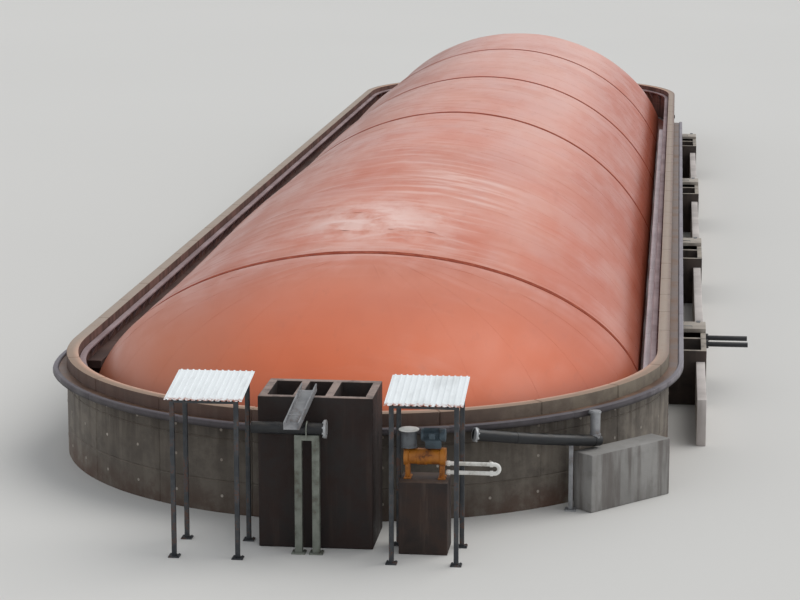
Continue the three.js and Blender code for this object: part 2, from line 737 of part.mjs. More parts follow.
// The room that the pipe needs in a piece that holds it
function gasPipeRoom() {
  const pastEnd = 1.0004;
  return pipeAlong(new GasCurve(pastEnd), GAS_RADIUS + GAP, GAS_STEPS);
}

function gasPipe() {
  const start = gasPoint(0).toArray();
  const flange = bar(start, gasPoint(GAS_FLANGE_SHARE).toArray(), GAS_FLANGE_RADIUS);
  return join(pipeAlong(new GasCurve(), GAS_RADIUS, GAS_STEPS), flange);
}

function gasRiser() {
  const along = new THREE.Vector3(-Math.sin(GAS_TO), Math.cos(GAS_TO), 0);
  const centre = gasPoint(1).addScaledVector(along, -RISER_BACK);
  const at = (z) => centre.clone().setZ(z);
  const faceAngle = (Math.floor(GAS_TO / ARC_STEP) + 0.5) * ARC_STEP;
  const outward = new THREE.Vector3(Math.cos(faceAngle), Math.sin(faceAngle), 0);
  const gutterFace = (GUTTER_EDGE + HALF_WIDTH) * Math.cos(ARC_STEP / 2);
  const arcCentre = new THREE.Vector3(0, -HALF_STRAIGHT, 0);
  const room = centre.clone().sub(arcCentre).dot(outward) - gutterFace;
  const stubStart = at(CHANNEL_FLOOR);
  const stubEnd = stubStart.clone().addScaledVector(outward, GAP - room);
  const riser = bar(at(GAS_END_Z).toArray(), at(RISER_TOP).toArray(), RISER_RADIUS);
  const stub = bar(stubStart.toArray(), stubEnd.toArray(), RISER_STUB_RADIUS);
  return cut(join(riser, stub), gasPipeRoom());
}

// The post ends in a saddle, cut to the pipe with the usual gap.
function gasPost() {
  const { x, y, z } = gasPoint(GAS_POST_SHARE);
  const half = GAS_POST_HALF;
  const post = box(x - half, x + half, y - half, y + half, 0, z - GAS_RADIUS / 2);
  return cut(post, gasPipeRoom());
}
addMesh("gas_pipe", gasPipe(), blackPipe);
addMesh("gas_riser", gasRiser(), greySteel);
addMesh("gas_pipe_post", gasPost(), greySteel);

// Low concrete block in front of the front right wall, turned along it
const BLOCK_TURN = THREE.MathUtils.degToRad(-43);
const BLOCK_FACE = HALF_WIDTH + m(1.16);
const BLOCK_DEPTH = m(0.6);
const BLOCK_FROM = m(-0.57);
const BLOCK_TO = m(2.0);
const BLOCK_TOP = WALL_HEIGHT - m(1.15);

function cornerBlock() {
  const block = box(BLOCK_FACE - BLOCK_DEPTH, BLOCK_FACE, BLOCK_FROM, BLOCK_TO, 0, BLOCK_TOP);
  return block.rotateZ(BLOCK_TURN).translate(0, -HALF_STRAIGHT, 0);
}
addMesh("corner_block", cornerBlock(), paleConcrete);

export default group;
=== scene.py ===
"""The looks of a long concrete biogas digester: coated fabric, cast concrete, still water and steel.

Everything is in metres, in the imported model's frame. The model is half real size, so m() takes real
metres. The long axis is Y, the feed end faces -Y, and z = 0 is the lowest ground.
"""
from contextlib import contextmanager
from math import atan2, ceil, cos, pi, radians, sin

import bmesh
import bpy
import numpy as np
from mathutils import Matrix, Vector, noise


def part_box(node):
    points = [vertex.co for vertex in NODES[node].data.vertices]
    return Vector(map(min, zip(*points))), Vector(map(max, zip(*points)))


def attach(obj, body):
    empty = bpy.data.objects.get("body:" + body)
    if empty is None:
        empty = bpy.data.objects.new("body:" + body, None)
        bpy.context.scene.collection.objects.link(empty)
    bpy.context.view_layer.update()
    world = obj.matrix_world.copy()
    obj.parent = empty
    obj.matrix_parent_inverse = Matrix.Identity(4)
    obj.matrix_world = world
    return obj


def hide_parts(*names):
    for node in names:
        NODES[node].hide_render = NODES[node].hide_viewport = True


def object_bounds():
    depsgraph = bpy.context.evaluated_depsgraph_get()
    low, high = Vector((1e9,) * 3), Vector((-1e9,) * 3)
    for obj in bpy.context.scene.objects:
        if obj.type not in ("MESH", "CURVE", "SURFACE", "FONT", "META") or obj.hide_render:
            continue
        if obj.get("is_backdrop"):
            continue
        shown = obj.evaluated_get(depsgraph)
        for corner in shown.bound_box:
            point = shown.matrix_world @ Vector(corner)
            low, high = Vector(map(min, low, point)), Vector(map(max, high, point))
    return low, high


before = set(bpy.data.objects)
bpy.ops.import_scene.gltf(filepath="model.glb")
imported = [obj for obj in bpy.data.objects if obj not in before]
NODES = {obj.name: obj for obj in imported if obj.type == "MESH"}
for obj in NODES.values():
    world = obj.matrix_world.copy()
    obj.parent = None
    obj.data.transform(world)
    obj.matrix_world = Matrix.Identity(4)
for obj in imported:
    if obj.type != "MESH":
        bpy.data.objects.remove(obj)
CAD_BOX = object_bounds()

SCALE = 0.5
GAP = 0.0003
HAIR = 0.0005
SKIN = 0.001
QUARTER = pi / 2
X_AXIS, Z_AXIS = (1, 0, 0), (0, 0, 1)


def m(real):
    """Real metres as model metres."""
    return real * SCALE


def span(node):
    """A node's lowest and highest corners, and its middle."""
    low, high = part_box(node)
    return low, high, (low + high) / 2


# Driving sizes, read from the frame
WALL_LOW, WALL_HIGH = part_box("wall_right")
GUTTER_LOW, GUTTER_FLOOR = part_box("gutter_right")[0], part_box("gutter_right")[1].z
GUTTER_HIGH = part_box("gutter_right_kerb")[1]
LEDGE_LOW, LEDGE_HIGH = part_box("ledge_right")
WALL_TOP = WALL_HIGH.z
WALL_MID = (WALL_LOW.x + WALL_HIGH.x) / 2
WALL_HALF = (WALL_HIGH.x - WALL_LOW.x) / 2
STRAIGHT_END = WALL_HIGH.y + GAP / 2
RUN_END = GUTTER_HIGH.y
LINE_COUNT = 4
LINES = [sum(corner.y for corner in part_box(f"roof_line_{i + 1}")) / 2 for i in range(LINE_COUNT)]
LINE_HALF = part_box("roof_line_1")[1].y - LINES[0]
STRAP_HALF = LINE_HALF * 1.35


# Camera: the photograph's own place and direction, aimed and zoomed at the digester
EYE = Vector((3.795, -45.2, 7.7))
AIM = Vector((-0.10955, 0.97565, -0.19001))
SENSOR = 36.0
FRAME_WIDTH = 800
FOCAL_PIXELS = 2450


def place(name, data):
    """A new object in the scene."""
    placed = bpy.data.objects.new(name, data)
    bpy.context.scene.collection.objects.link(placed)
    return placed


def add_camera():
    data = bpy.data.cameras.new("photo_view")
    data.sensor_width = SENSOR
    data.lens = SENSOR * FOCAL_PIXELS / FRAME_WIDTH
    data.clip_start = 1.0
    data.clip_end = 900.0
    camera = place("photo_view", data)
    camera.location = EYE
    camera.rotation_mode = "QUATERNION"
    camera.rotation_quaternion = AIM.to_track_quat("-Z", "Y")
    bpy.context.scene.camera = camera


add_camera()


# Closed bodies, gathered into one mesh for each piece
PLATE_THICK = m(0.025)
PLATE_BOLT = m(0.035)
PLATE_BOLTS_AT = 0.37


def square_to(axis):
    """Two directions square to an axis and to each other."""
    side = axis.orthogonal().normalized()
    return side, axis.cross(side)


def scaled(profile, length, radius):
    """A profile in shares of a length and a radius, as sizes."""
    return [(length * along, radius * width) for along, width in profile]


def circle(centre, side, other, radius, count, first=0.0):
    """Points round a circle in the plane of side and other."""
    turns = [2 * pi * (k + first) / count for k in range(count)]
    return [centre + (side * cos(a) + other * sin(a)) * radius for a in turns]


class Form:
    """Points and faces of one piece, built up from closed bodies."""

    def __init__(self):
        self.points = []
        self.faces = []

    def add(self, points, faces):
        start = len(self.points)
        self.points.extend(tuple(p) for p in points)
        self.faces.extend(tuple(start + i for i in face) for face in faces)

    def loft(self, rings, loop=False):
        """Joins rings of points; the first and last are closed, unless they meet in a loop."""
        count = len(rings[0])
        faces = []
        for r in range(len(rings) if loop else len(rings) - 1):
            here, there = r * count, ((r + 1) % len(rings)) * count
            for k in range(count):
                after = (k + 1) % count
                faces.append((here + k, here + after, there + after, there + k))
        if not loop:
            last = (len(rings) - 1) * count
            faces.append(tuple(range(count))[::-1])
            faces.append(tuple(last + k for k in range(count)))
        self.add([p for ring in rings for p in ring], faces)

    def block(self, low, high, chamfer):
        """A box with all its edges chamfered."""
        cut = min(chamfer, *((high[i] - low[i]) * 0.45 for i in range(3)))

        def ring(inset, z):
            x0, x1 = low[0] + inset, high[0] - inset
            y0, y1 = low[1] + inset, high[1] - inset
            return [
                (x0 + cut, y0, z), (x1 - cut, y0, z), (x1, y0 + cut, z), (x1, y1 - cut, z),
                (x1 - cut, y1, z), (x0 + cut, y1, z), (x0, y1 - cut, z), (x0, y0 + cut, z),
            ]

        levels = [(cut / 2, low[2]), (0, low[2] + cut), (0, high[2] - cut), (cut / 2, high[2])]
        self.loft([ring(inset, z) for inset, z in levels])

    def turned(self, start, axis, profile, sides=24):
        """A body turned round an axis; profile is (distance along it, radius) pairs."""
        start, axis = Vector(start), Vector(axis).normalized()
        plane = square_to(axis)
        self.loft([circle(start + axis * along, *plane, radius, sides) for along, radius in profile])

    def rod(self, start, end, radius, sides, chamfer=0.002):
        """A round bar with both ends chamfered."""
        length = (Vector(end) - Vector(start)).length
        cut = min(chamfer, radius * 0.4, length * 0.3)
        profile = [(0, radius - cut), (cut, radius), (length - cut, radius), (length, radius - cut)]
        self.turned(start, Vector(end) - Vector(start), profile, sides)

    def tube(self, path, radius, sides):
        """A round bar bent along a path of points."""
        path = [Vector(p) for p in path]
        side = None
        rings = []
        for i, point in enumerate(path):
            along = (path[min(i + 1, len(path) - 1)] - path[max(i - 1, 0)]).normalized()
            side = along.orthogonal() if side is None else side - along * side.dot(along)
            side.normalize()
            rings.append(circle(point, side, along.cross(side), radius, sides))
        self.loft(rings)

    def bolt(self, seat, axis, width):
        """A washer and a six-sided head that stand on seat along axis."""
        self.turned(seat, axis, [(0, width * 0.62), (width * 0.12, width * 0.62)], 14)
        head = [(width * 0.12, width * 0.5), (width * 0.5, width * 0.5), (width * 0.56, width * 0.4)]
        self.turned(seat, axis, head, 6)

    def bolt_ring(self, centre, axis, radius, count, width):
        centre, axis = Vector(centre), Vector(axis).normalized()
        for seat in circle(centre, *square_to(axis), radius, count, 0.5):
            self.bolt(seat, axis, width)

    def base_plate(self, x, y, size):
        """A foot plate on the ground with four bolts, round a post at x, y."""
        half, reach = size / 2, size * PLATE_BOLTS_AT
        self.block((x - half, y - half, 0.0), (x + half, y + half, PLATE_THICK), SKIN)
        for dx in (-reach, reach):
            for dy in (-reach, reach):
                self.bolt((x + dx, y + dy, PLATE_THICK), Z_AXIS, PLATE_BOLT)


# Pieces: what rides on the part's one body.
NO_SLOT = ""
BEVEL_ANGLE = radians(35)
MERGE = 1e-5
SOFT_CREASE = 60
BLOCK_EDGE, CAST_EDGE, SLAB_EDGE = m(0.025), m(0.02), m(0.015)
STEEL_EDGE, RISER_EDGE, POST_EDGE = m(0.012), m(0.01), m(0.008)


@contextmanager
def opened(mesh, into=None):
    """A mesh as a body that can be worked on, written back or into another mesh."""
    body = bmesh.new()
    body.from_mesh(mesh)
    yield body
    body.to_mesh(into or mesh)
    body.free()


def add_piece(name, mesh, materials, replaced, crease=32):
    with opened(mesh) as shell:
        bmesh.ops.recalc_face_normals(shell, faces=shell.faces)
    mesh.shade_smooth()
    mesh.set_sharp_from_angle(angle=radians(crease))
    piece = place(name, mesh)
    for material in materials:
        mesh.materials.append(material)
    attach(piece, "root")
    if replaced:
        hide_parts(*replaced)
    return piece


def make(name, form, *materials, replaced=(), crease=32):
    """Makes a form a piece that stands for the nodes in replaced."""
    mesh = bpy.data.meshes.new(name)
    mesh.from_pydata(form.points, [], form.faces)
    return add_piece(name, mesh, materials, replaced, crease)


def refined(node, ending, material, edge, name=None):
    """A node's own shape with rounded edges, which stands for the node; its name gets an ending."""
    mesh = bpy.data.meshes.new(name or f"{node}_{ending}")
    with opened(NODES[node].data, mesh) as body:
        bmesh.ops.remove_doubles(body, verts=body.verts, dist=MERGE)
        bmesh.ops.dissolve_limit(body, angle_limit=radians(1), verts=body.verts, edges=body.edges)
        sharp = [e for e in body.edges if e.calc_face_angle(0) > BEVEL_ANGLE]
        bmesh.ops.bevel(
            body, geom=sharp, offset=edge, segments=2, affect="EDGES", profile=0.6, clamp_overlap=True
        )
    add_piece(mesh.name, mesh, [material], [node])


# Finishes
def linear(hex_colour):
    """A written colour such as 0xd4826a as the numbers that shaders take."""
    channels = [(hex_colour >> shift & 255) / 255 for shift in (16, 8, 0)]
    return [c / 12.92 if c <= 0.04045 else ((c + 0.055) / 1.055) ** 2.4 for c in channels] + [1.0]


def shader_node(tree, kind, *values):
    """A new node in a shader tree, with its first inputs set or linked."""
    made = tree.nodes.new("ShaderNode" + kind)
    for socket, value in zip(made.inputs, values):
        feed(tree, socket, value)
    return made


def feed(tree, socket, value):
    """Sets an input, or links it when the value is another node's output."""
    if isinstance(value, bpy.types.NodeSocket):
        tree.links.new(value, socket)
    else:
        socket.default_value = value


class Paint:
    """A material whose colour, roughness and relief come from noise in the part's own metres."""

    def __init__(self, name, slot=None, metallic=0.0, specular=0.5):
        self.material = bpy.data.materials.new(name)
        self.material.use_nodes = True
        self.tree = self.material.node_tree
        self.shader = self.tree.nodes["Principled BSDF"].inputs
        self.shader["Metallic"].default_value = metallic
        self.shader["Specular IOR Level"].default_value = specular
        self.place = self.node("TexCoord").outputs["Object"]
        self.x, self.y, self.z = self.node("SeparateXYZ", self.place).outputs
        self.up = self.node("SeparateXYZ", self.node("NewGeometry").outputs["Normal"]).outputs[2]
        self.colour = None
        name if slot is None else slot

    def node(self, kind, *values):
        return shader_node(self.tree, kind, *values)

    def noise(self, scale, stretch=(1, 1, 1), detail=4.0, seed=0.0, roughness=0.55):
        shift = (seed, seed * 0.7, seed * 1.3)
        mapping = self.node("Mapping", self.place, shift, (0, 0, 0), stretch)
        cloud = self.node("TexNoise", mapping.outputs[0])
        for key, value in (("Scale", scale), ("Detail", detail), ("Roughness", roughness)):
            cloud.inputs[key].default_value = value
        return cloud.outputs[0]

    def spread(self, value, low, high, start=0.0, end=1.0):
        """Maps value smoothly from the range low to high onto start to end."""
        ramp = self.node("MapRange", value, low, high, start, end)
        ramp.interpolation_type = "SMOOTHSTEP"
        return ramp.outputs[0]

    def calc(self, operation, first, second=0.0):
        box = self.node("Math", first, second)
        box.operation = operation
        return box.outputs[0]

    def times(self, *values):
        product = values[0]
        for value in values[1:]:
            product = self.calc("MULTIPLY", product, value)
        return product

    def sum_of(self, first, first_share, second, second_share):
        return self.calc("ADD", self.times(first, first_share), self.times(second, second_share))

    def reach(self):
        """Distance from the plan's middle line on the sides and from an end's centre on the ends."""
        past = self.calc("MAXIMUM", self.calc("SUBTRACT", self.calc("ABSOLUTE", self.y), STRAIGHT_END), 0.0)
        return self.calc("SQRT", self.sum_of(self.x, self.x, past, past))

    def near(self, socket, value, width):
        """1 where socket is at value, falling to 0 at width from it."""
        away = self.calc("ABSOLUTE", self.calc("SUBTRACT", socket, value))
        return self.spread(away, 0.0, width, 1.0, 0.0)

    def mix(self, share, first, second):
        blend = self.tree.nodes.new("ShaderNodeMix")
        blend.data_type = "RGBA"
        feed(self.tree, blend.inputs[0], share)
        for index, colour in ((6, first), (7, second)):
            feed(self.tree, blend.inputs[index], linear(colour) if isinstance(colour, int) else colour)
        return blend.outputs[2]

    def coat(self, colour, *shares):
        """Lays a colour over what is there, as far as the product of the shares."""
        self.colour = self.mix(self.times(*shares), self.colour, colour)

    def finish(self, roughness, height=None, depth=0.01, strength=1.0):
        feed(self.tree, self.shader["Base Color"], self.colour)
        feed(self.tree, self.shader["Roughness"], roughness)
        if height is not None:
            bump = self.tree.nodes.new("ShaderNodeBump")
            for key, value in (("Distance", depth), ("Strength", strength), ("Height", height)):
                feed(self.tree, bump.inputs[key], value)
            feed(self.tree, self.shader["Normal"], bump.outputs[0])
        return self.material


CREST_PATCH = Vector((-0.2, -12.9, 0))
CAP_FADE = (-14.4, -15.4)
CREST_RUNS_END = (-4.0, -9.0)


def membrane_finish():
    """Salmon red coated fabric: orange low down, paler on top and to the rear as painted sky sheen, with a
    painted highlight patch and painted shade on its flanks and foot.
    """
    paint = Paint("membrane")
    x, y, z, up = paint.x, paint.y, paint.z, paint.up
    spread, near, coat = paint.spread, paint.near, paint.coat
    broad = paint.noise(0.35, detail=3, seed=2)
    mottles = paint.noise(1.0, (0.9, 0.45, 0.9), seed=31)
    clouds = paint.noise(1.0, (2.2, 0.7, 2.2), seed=17, roughness=0.5)
    runs = paint.noise(1.0, (0.7, 4.2, 0.9), detail=5, seed=5)
    specks = paint.noise(1.0, (7.0, 1.8, 7.0), detail=5, seed=9, roughness=0.6)
    highlight_streaks = paint.noise(1.0, (1.6, 1.4, 1.0), detail=6, seed=21, roughness=0.6)
    on_bays = spread(y, LINES[0] - 1.2, LINES[0] + 0.3)
    # painted sky sheen: orange low down, paler higher up
    paint.colour = paint.mix(spread(z, m(2.9), m(5.0)), 0xE07043, 0xD2795A)
    # a deeper salmon on the bays
    coat(0xCC6C4C, on_bays)
    # painted sky sheen: paler to the rear and on top, and a faint pale band right of the crest
    coat(0xDCAEA3, spread(y, -20.0, 13.0), spread(up, 0.45, 0.98), 0.70)
    coat(0xE6BDB2, near(x, 1.35, 1.1), spread(y, -14.0, -9.0), 0.22)
    # mottled all over, with painted highlights as pale runs across the crest
    coat(0xD9A18F, spread(mottles, 0.38, 0.64), spread(on_bays, 0.0, 1.0, 0.05, 0.38))
    coat(0xC2664A, spread(clouds, 0.48, 0.30, 0.0, 0.16))
    coat(0xB4583A, spread(broad, 0.42, 0.66, 0.0, 0.25))
    on_crest = paint.times(near(x, 0.3, 2.4), spread(y, *CREST_RUNS_END), on_bays)
    coat(0xEBC8BE, spread(runs, 0.52, 0.72), spread(on_crest, 0.0, 1.0, 0.04, 0.35))
    coat(0xA9604A, spread(specks, 0.55, 0.75, 0.0, 0.16))
    # painted highlights: the whitish patch and the creases beside it
    on_patch = paint.times(near(x, CREST_PATCH.x, 1.8), near(y, CREST_PATCH.y, 2.2))
    coat(0xF0D0C7, on_patch, spread(highlight_streaks, 0.34, 0.62), 0.85)
    beside = paint.times(near(x, CREST_PATCH.x + 0.9, 1.3), near(y, CREST_PATCH.y + 2.6, 2.6))
    coat(0xECC6BB, beside, spread(runs, 0.45, 0.60), 0.6)
    # painted shade: darker on both flanks, on the steep left side of the front cap and towards the foot
    coat(0x8C5645, spread(x, 0.0, -2.5), spread(y, -15.0, 12.0, 0.58, 0.88))
    coat(0xA84A2C, spread(x, 1.7, 2.9), spread(y, -14.0, -6.0, 0.55, 1.0), 0.7)
    turned_left = paint.times(spread(x, -2.3, -3.1), spread(up, 0.80, 0.55))
    coat(0x7A4632, turned_left, spread(y, -13.6, -14.8), 0.35)
    coat(0x8E4026, spread(z, m(2.8), m(1.5)), 0.68)
    # lighter orange low on the front cap's left, over the painted shade
    coat(0xC87A58, spread(x, -0.6, -2.4), spread(y, *CAP_FADE), spread(z, m(4.4), m(3.0)), 0.5)
    # a mottled darker band just before the first line
    coat(0xA65C44, near(y, LINES[0] - 0.8, 1.5), spread(clouds, 0.25, 0.6, 0.5, 1.0), 0.3)
    relief = paint.calc("ADD", paint.times(clouds, 0.6), paint.times(runs, on_crest, 0.5))
    return paint.finish(spread(clouds, 0.3, 0.7, 0.36, 0.52), relief, 0.010, 0.35)


def strap_finish():
    """Dark woven strap."""
    paint = Paint("roof_line", specular=0.12)
    worn = paint.noise(9, detail=5, seed=3)
    weave = paint.noise(70, (0.4, 1, 1), detail=2)
    paint.colour = paint.mix(paint.spread(worn, 0.4, 0.7), 0x8A3C28, 0xA45640)
    return paint.finish(paint.spread(worn, 0.3, 0.7, 0.8, 0.95), weave, 0.002)


def concrete_finish(name, slot, light, dark, stain, stain_share=0.5, wet=0.0, seed=0.0):
    """Cast concrete with cloudy tone, run marks down its faces and pores."""
    paint = Paint(name, slot, specular=0.35 + wet * 0.3)
    spread, coat = paint.spread, paint.coat
    cloud = paint.noise(1.1, detail=6, seed=seed)
    patches = paint.noise(3.5, detail=8, seed=seed + 4, roughness=0.65)
    runs = paint.noise(1.0, (6.5, 6.5, 0.7), detail=6, seed=seed + 8)
    pores = paint.noise(55, detail=3, seed=seed + 2)
    paint.colour = paint.mix(spread(cloud, 0.35, 0.68), light, dark)
    coat(dark, spread(patches, 0.45, 0.75, 0.0, 0.5))
    coat(stain, spread(runs, 0.42, 0.62), spread(paint.up, 0.75, 0.35), stain_share)
    coat(stain, spread(patches, 0.56, 0.8, 0.0, stain_share * 0.8))
    coat(dark, spread(pores, 0.62, 0.72, 0.0, 0.35))
    roughness = spread(patches, 0.3, 0.7, 0.92 - wet * 0.6, 0.78 - wet * 0.45)
    return paint.finish(roughness, paint.sum_of(patches, 0.6, pores, 0.25), 0.006)


def wall_finish():
    """Concrete with stained faces, and a brown top with a bright edge inside at the ends, painted light
    thrown pink from the membrane.
    """
    paint = Paint("wall_concrete", specular=0.4)
    x, y, z = paint.x, paint.y, paint.z
    spread, coat, front = paint.spread, paint.coat, -STRAIGHT_END
    patches = paint.noise(3.5, detail=8, seed=4, roughness=0.65)
    runs = paint.noise(1.0, (7.0, 7.0, 0.6), detail=6, seed=8)
    pores = paint.noise(55, detail=3, seed=2)
    paint.colour = paint.mix(spread(patches, 0.38, 0.66), 0x827A70, 0x645D55)
    high_up = spread(z, WALL_TOP - 0.75, WALL_TOP - 0.15, 0.35, 1.0)
    coat(0x3E352F, spread(runs, 0.40, 0.60), high_up, 0.75)
    coat(0x5E4032, spread(z, 0.42, 0.0), spread(patches, 0.30, 0.62), 0.7)
    # brown above the gutter, and painted shade below it at the front
    above = spread(z, GUTTER_LOW.z - 0.05, GUTTER_LOW.z)
    beside = paint.calc("MAXIMUM", spread(x, -0.5, 0.5), spread(y, front + 0.2, front - 0.2))
    brown = paint.mix(spread(x, 0.8, 3.2), 0x5C453C, 0x7A7062)
    brown = paint.mix(spread(patches, 0.42, 0.66, 0.0, 0.5), brown, 0x4A3A33)
    coat(brown, beside, spread(y, RUN_END, RUN_END - 0.3), above, 0.85)
    below = spread(z, GUTTER_LOW.z, GUTTER_LOW.z - 0.05)
    coat(0x3A332C, spread(y, front - 1.4, front - 3.0), spread(x, 2.8, 1.6), below, 0.5)
    # the top face: bright along its inner edge at the ends as painted light from the membrane, pale along its
    # outer edge on the right
    reach, inner, outer = paint.reach(), WALL_LOW.x, WALL_HIGH.x
    top = 0x97806F
    end_lid = paint.mix(spread(reach, inner, inner + (outer - inner) * 0.6), 0xD2A892, top)
    outer_half = paint.times(spread(reach, (inner + outer) / 2, outer), spread(x, -0.5, 0.5))
    side_lid = paint.mix(outer_half, 0xA4968A, 0x84736C)
    on_side_wall = spread(paint.calc("ABSOLUTE", y), STRAIGHT_END + 1.8, STRAIGHT_END - 0.5)
    lid = paint.mix(on_side_wall, end_lid, side_lid)
    lid = paint.mix(spread(patches, 0.46, 0.72, 0.0, 0.5), lid, top)
    coat(lid, spread(paint.up, 0.5, 0.9))
    coat(0x3E352F, spread(pores, 0.60, 0.72, 0.0, 0.3))
    relief = paint.sum_of(patches, 0.6, pores, 0.25)
    return paint.finish(spread(patches, 0.3, 0.7, 0.9, 0.7), relief, 0.006)


def gutter_finish():
    """Wet concrete: a lavender grey kerb with painted shade underneath and towards the front, and a brown
    channel.
    """
    paint = Paint("gutter_concrete", specular=0.45)
    y, z = paint.y, paint.z
    spread, coat, front = paint.spread, paint.coat, -STRAIGHT_END
    patches = paint.noise(3.0, detail=8, seed=11, roughness=0.65)
    runs = paint.noise(1.0, (8.0, 8.0, 0.7), detail=6, seed=19)
    flat = spread(paint.up, 0.5, 0.9)
    # painted shade: the kerb's faces darker towards the front
    kerb = paint.mix(spread(y, front - 0.5, front - 2.5), 0x857F85, 0x4C474B)
    # painted shade under the gutter, along the bottom of its faces
    paint.colour = paint.mix(spread(z, GUTTER_LOW.z + 0.008, GUTTER_LOW.z + 0.045), 0x2E292A, kerb)
    coat(0x3A3334, spread(runs, 0.42, 0.62), 0.45)
    rim = paint.mix(spread(y, front - 2.0, front + 0.5), 0x5F595E, 0x8B868E)
    coat(paint.mix(spread(patches, 0.45, 0.7, 0.0, 0.5), rim, 0x514A4A), flat)
    channel = spread(z, GUTTER_FLOOR + 0.03, GUTTER_FLOOR + 0.015)
    coat(paint.mix(spread(paint.x, -2.6, -3.4), 0x66544C, 0x7B757D), channel, flat)
    return paint.finish(spread(patches, 0.3, 0.7, 0.75, 0.45), patches, 0.006)


def soiled_finish(name, node, rim, face, stain, pale_run=0x6B5A50):
    """Concrete soaked dark by slurry, with a rubbed pale rim at the top of a node."""
    paint = Paint(name, "stained_concrete", specular=0.4)
    spread, rim_z = paint.spread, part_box(node)[1].z
    patches = paint.noise(4, detail=8, seed=6, roughness=0.65)
    runs = paint.noise(1.0, (9, 9, 0.8), detail=6, seed=17)
    paint.colour = paint.mix(spread(patches, 0.35, 0.7), face, stain)
    paint.coat(pale_run, spread(runs, 0.5, 0.75, 0.0, 0.35))
    on_top = paint.times(spread(paint.up, 0.5, 0.9), spread(paint.z, rim_z - 0.03, rim_z - 0.005))
    paint.coat(rim, on_top, spread(patches, 0.66, 0.42, 0.35, 0.95))
    return paint.finish(spread(patches, 0.3, 0.7, 0.85, 0.55), patches, 0.006)


def sheet_steel_finish():
    """White coated sheet with grey dirt and rust at the cut front edge."""
    paint = Paint("white_sheet")
    dirt = paint.noise(5, (1, 0.3, 1), detail=6, seed=4)
    speck = paint.noise(30, seed=1)
    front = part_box("shelter_left_roof")[0].y
    paint.colour = paint.mix(paint.spread(dirt, 0.45, 0.75, 0.0, 0.55), 0xEDF2F4, 0xC6CACB)
    paint.coat(0x9C5230, paint.spread(paint.y, front + 0.09, front + 0.01), paint.spread(speck, 0.38, 0.6))
    return paint.finish(paint.spread(dirt, 0.3, 0.7, 0.35, 0.6), dirt, 0.002)


def metal_finish(name, slot, base, worn, rust, rust_share=0.3, metallic=0.5, roughness=0.5, seed=0.0):
    """Painted or galvanised steel with tone, rubbed places and rust."""
    paint = Paint(name, slot, metallic=metallic)
    tone = paint.noise(7, detail=5, seed=seed)
    grain = paint.noise(45, seed=seed + 3)
    paint.colour = paint.mix(paint.spread(tone, 0.35, 0.7), base, worn)
    paint.coat(rust, paint.spread(paint.sum_of(tone, 0.6, grain, 0.4), 0.52, 0.62), rust_share)
    return paint.finish(paint.spread(tone, 0.3, 0.7, roughness - 0.08, roughness + 0.18), grain, 0.0015)


def pipe_finish():
    """Black pipe with pale dust on its upper side."""
    paint = Paint("black_pipe")
    dust = paint.noise(9, detail=6, seed=8)
    paint.colour = 0x17191C
    paint.coat(0x6A6259, paint.spread(paint.up, 0.2, 0.95), paint.spread(dust, 0.35, 0.7), 0.32)
    return paint.finish(paint.spread(dust, 0.3, 0.7, 0.32, 0.55), dust, 0.002)


def water_finish(name, deep, silt, roughness):
    """Still water over silt, with a scum of dust."""
    paint = Paint(name, NO_SLOT)
    silt_cloud = paint.noise(2.2, detail=6, seed=12)
    ripple = paint.noise(6, detail=2, seed=3)
    paint.colour = paint.mix(paint.spread(silt_cloud, 0.4, 0.66), deep, silt)
    rough = paint.spread(silt_cloud, 0.45, 0.7, roughness, roughness + 0.22)
    return paint.finish(rough, ripple, 0.003, 0.4)


def floor_finish():
    """A plain pale floor."""
    paint = Paint("studio_floor", specular=0.2)
    paint.colour = paint.mix(paint.noise(0.05, detail=2), 0xCFCECB, 0xD4D3D0)
    return paint.finish(0.9)


MEMBRANE = membrane_finish()
STRAP = strap_finish()
WALL = wall_finish()
# the walls' inner faces: darker brown concrete, painted shade
WALL_INSIDE_SHADE = concrete_finish("wall_inside_shade", NO_SLOT, 0x7C5D55, 0x5E4640, 0x402F2A, 0.6, seed=3)
GUTTER = gutter_finish()
PALE_SLOT, DARK_SLOT, GREY_STEEL = "pale_concrete", "stained_concrete", "grey_steel"
PALE = concrete_finish(PALE_SLOT, None, 0xB4ACA2, 0x938B82, 0x6A5D51, 0.4, seed=11)
KERB = concrete_finish("kerb_concrete", PALE_SLOT, 0xCFC8C4, 0xB0A9A5, 0x776C64, 0.35, seed=27)
BLOCK = concrete_finish("block_concrete", PALE_SLOT, 0x979592, 0x7C7A77, 0x504742, 0.6, seed=41)
LEDGE = concrete_finish("ledge_concrete", PALE_SLOT, 0xF2E8EB, 0xDCD2D5, 0xA89E9E, 0.25, 0.3, 15)
RAIL = concrete_finish("rail_concrete", PALE_SLOT, 0xA89698, 0x887678, 0x574846, 0.35, seed=23)
# a darker copy of the ledge concrete for the left ledge, painted shade
LEDGE_SHADED = concrete_finish("shaded_ledge_concrete", DARK_SLOT, 0x6E5751, 0x554440, 0x372A26, 0.5, seed=16)
CHAMBER = soiled_finish("chamber_concrete", "chamber_1", 0xA79E92, 0x4A3F39, 0x2A2320)
FEED = soiled_finish("feed_box_concrete", "feed_box", 0x9A8880, 0x2A1E1B, 0x18110F, 0x43322B)
PLINTH = soiled_finish("plinth_concrete", "pump_plinth", 0x5A4A40, 0x3A2C26, 0x221916)
WHITE_SHEET = sheet_steel_finish()
DARK_STEEL = metal_finish("dark_steel", None, 0x3B3E42, 0x55585A, 0x6E4128, 0.5)
GALVANISED = metal_finish(GREY_STEEL, None, 0x9A9B9D, 0x7C7D80, 0x7A5A44, 0.3, 0.35, 0.42)
FLANGE = metal_finish("flange_steel", GREY_STEEL, 0xC2C4C6, 0x9C9EA0, 0x7A6250, 0.25, 0.3, 0.4, 3)
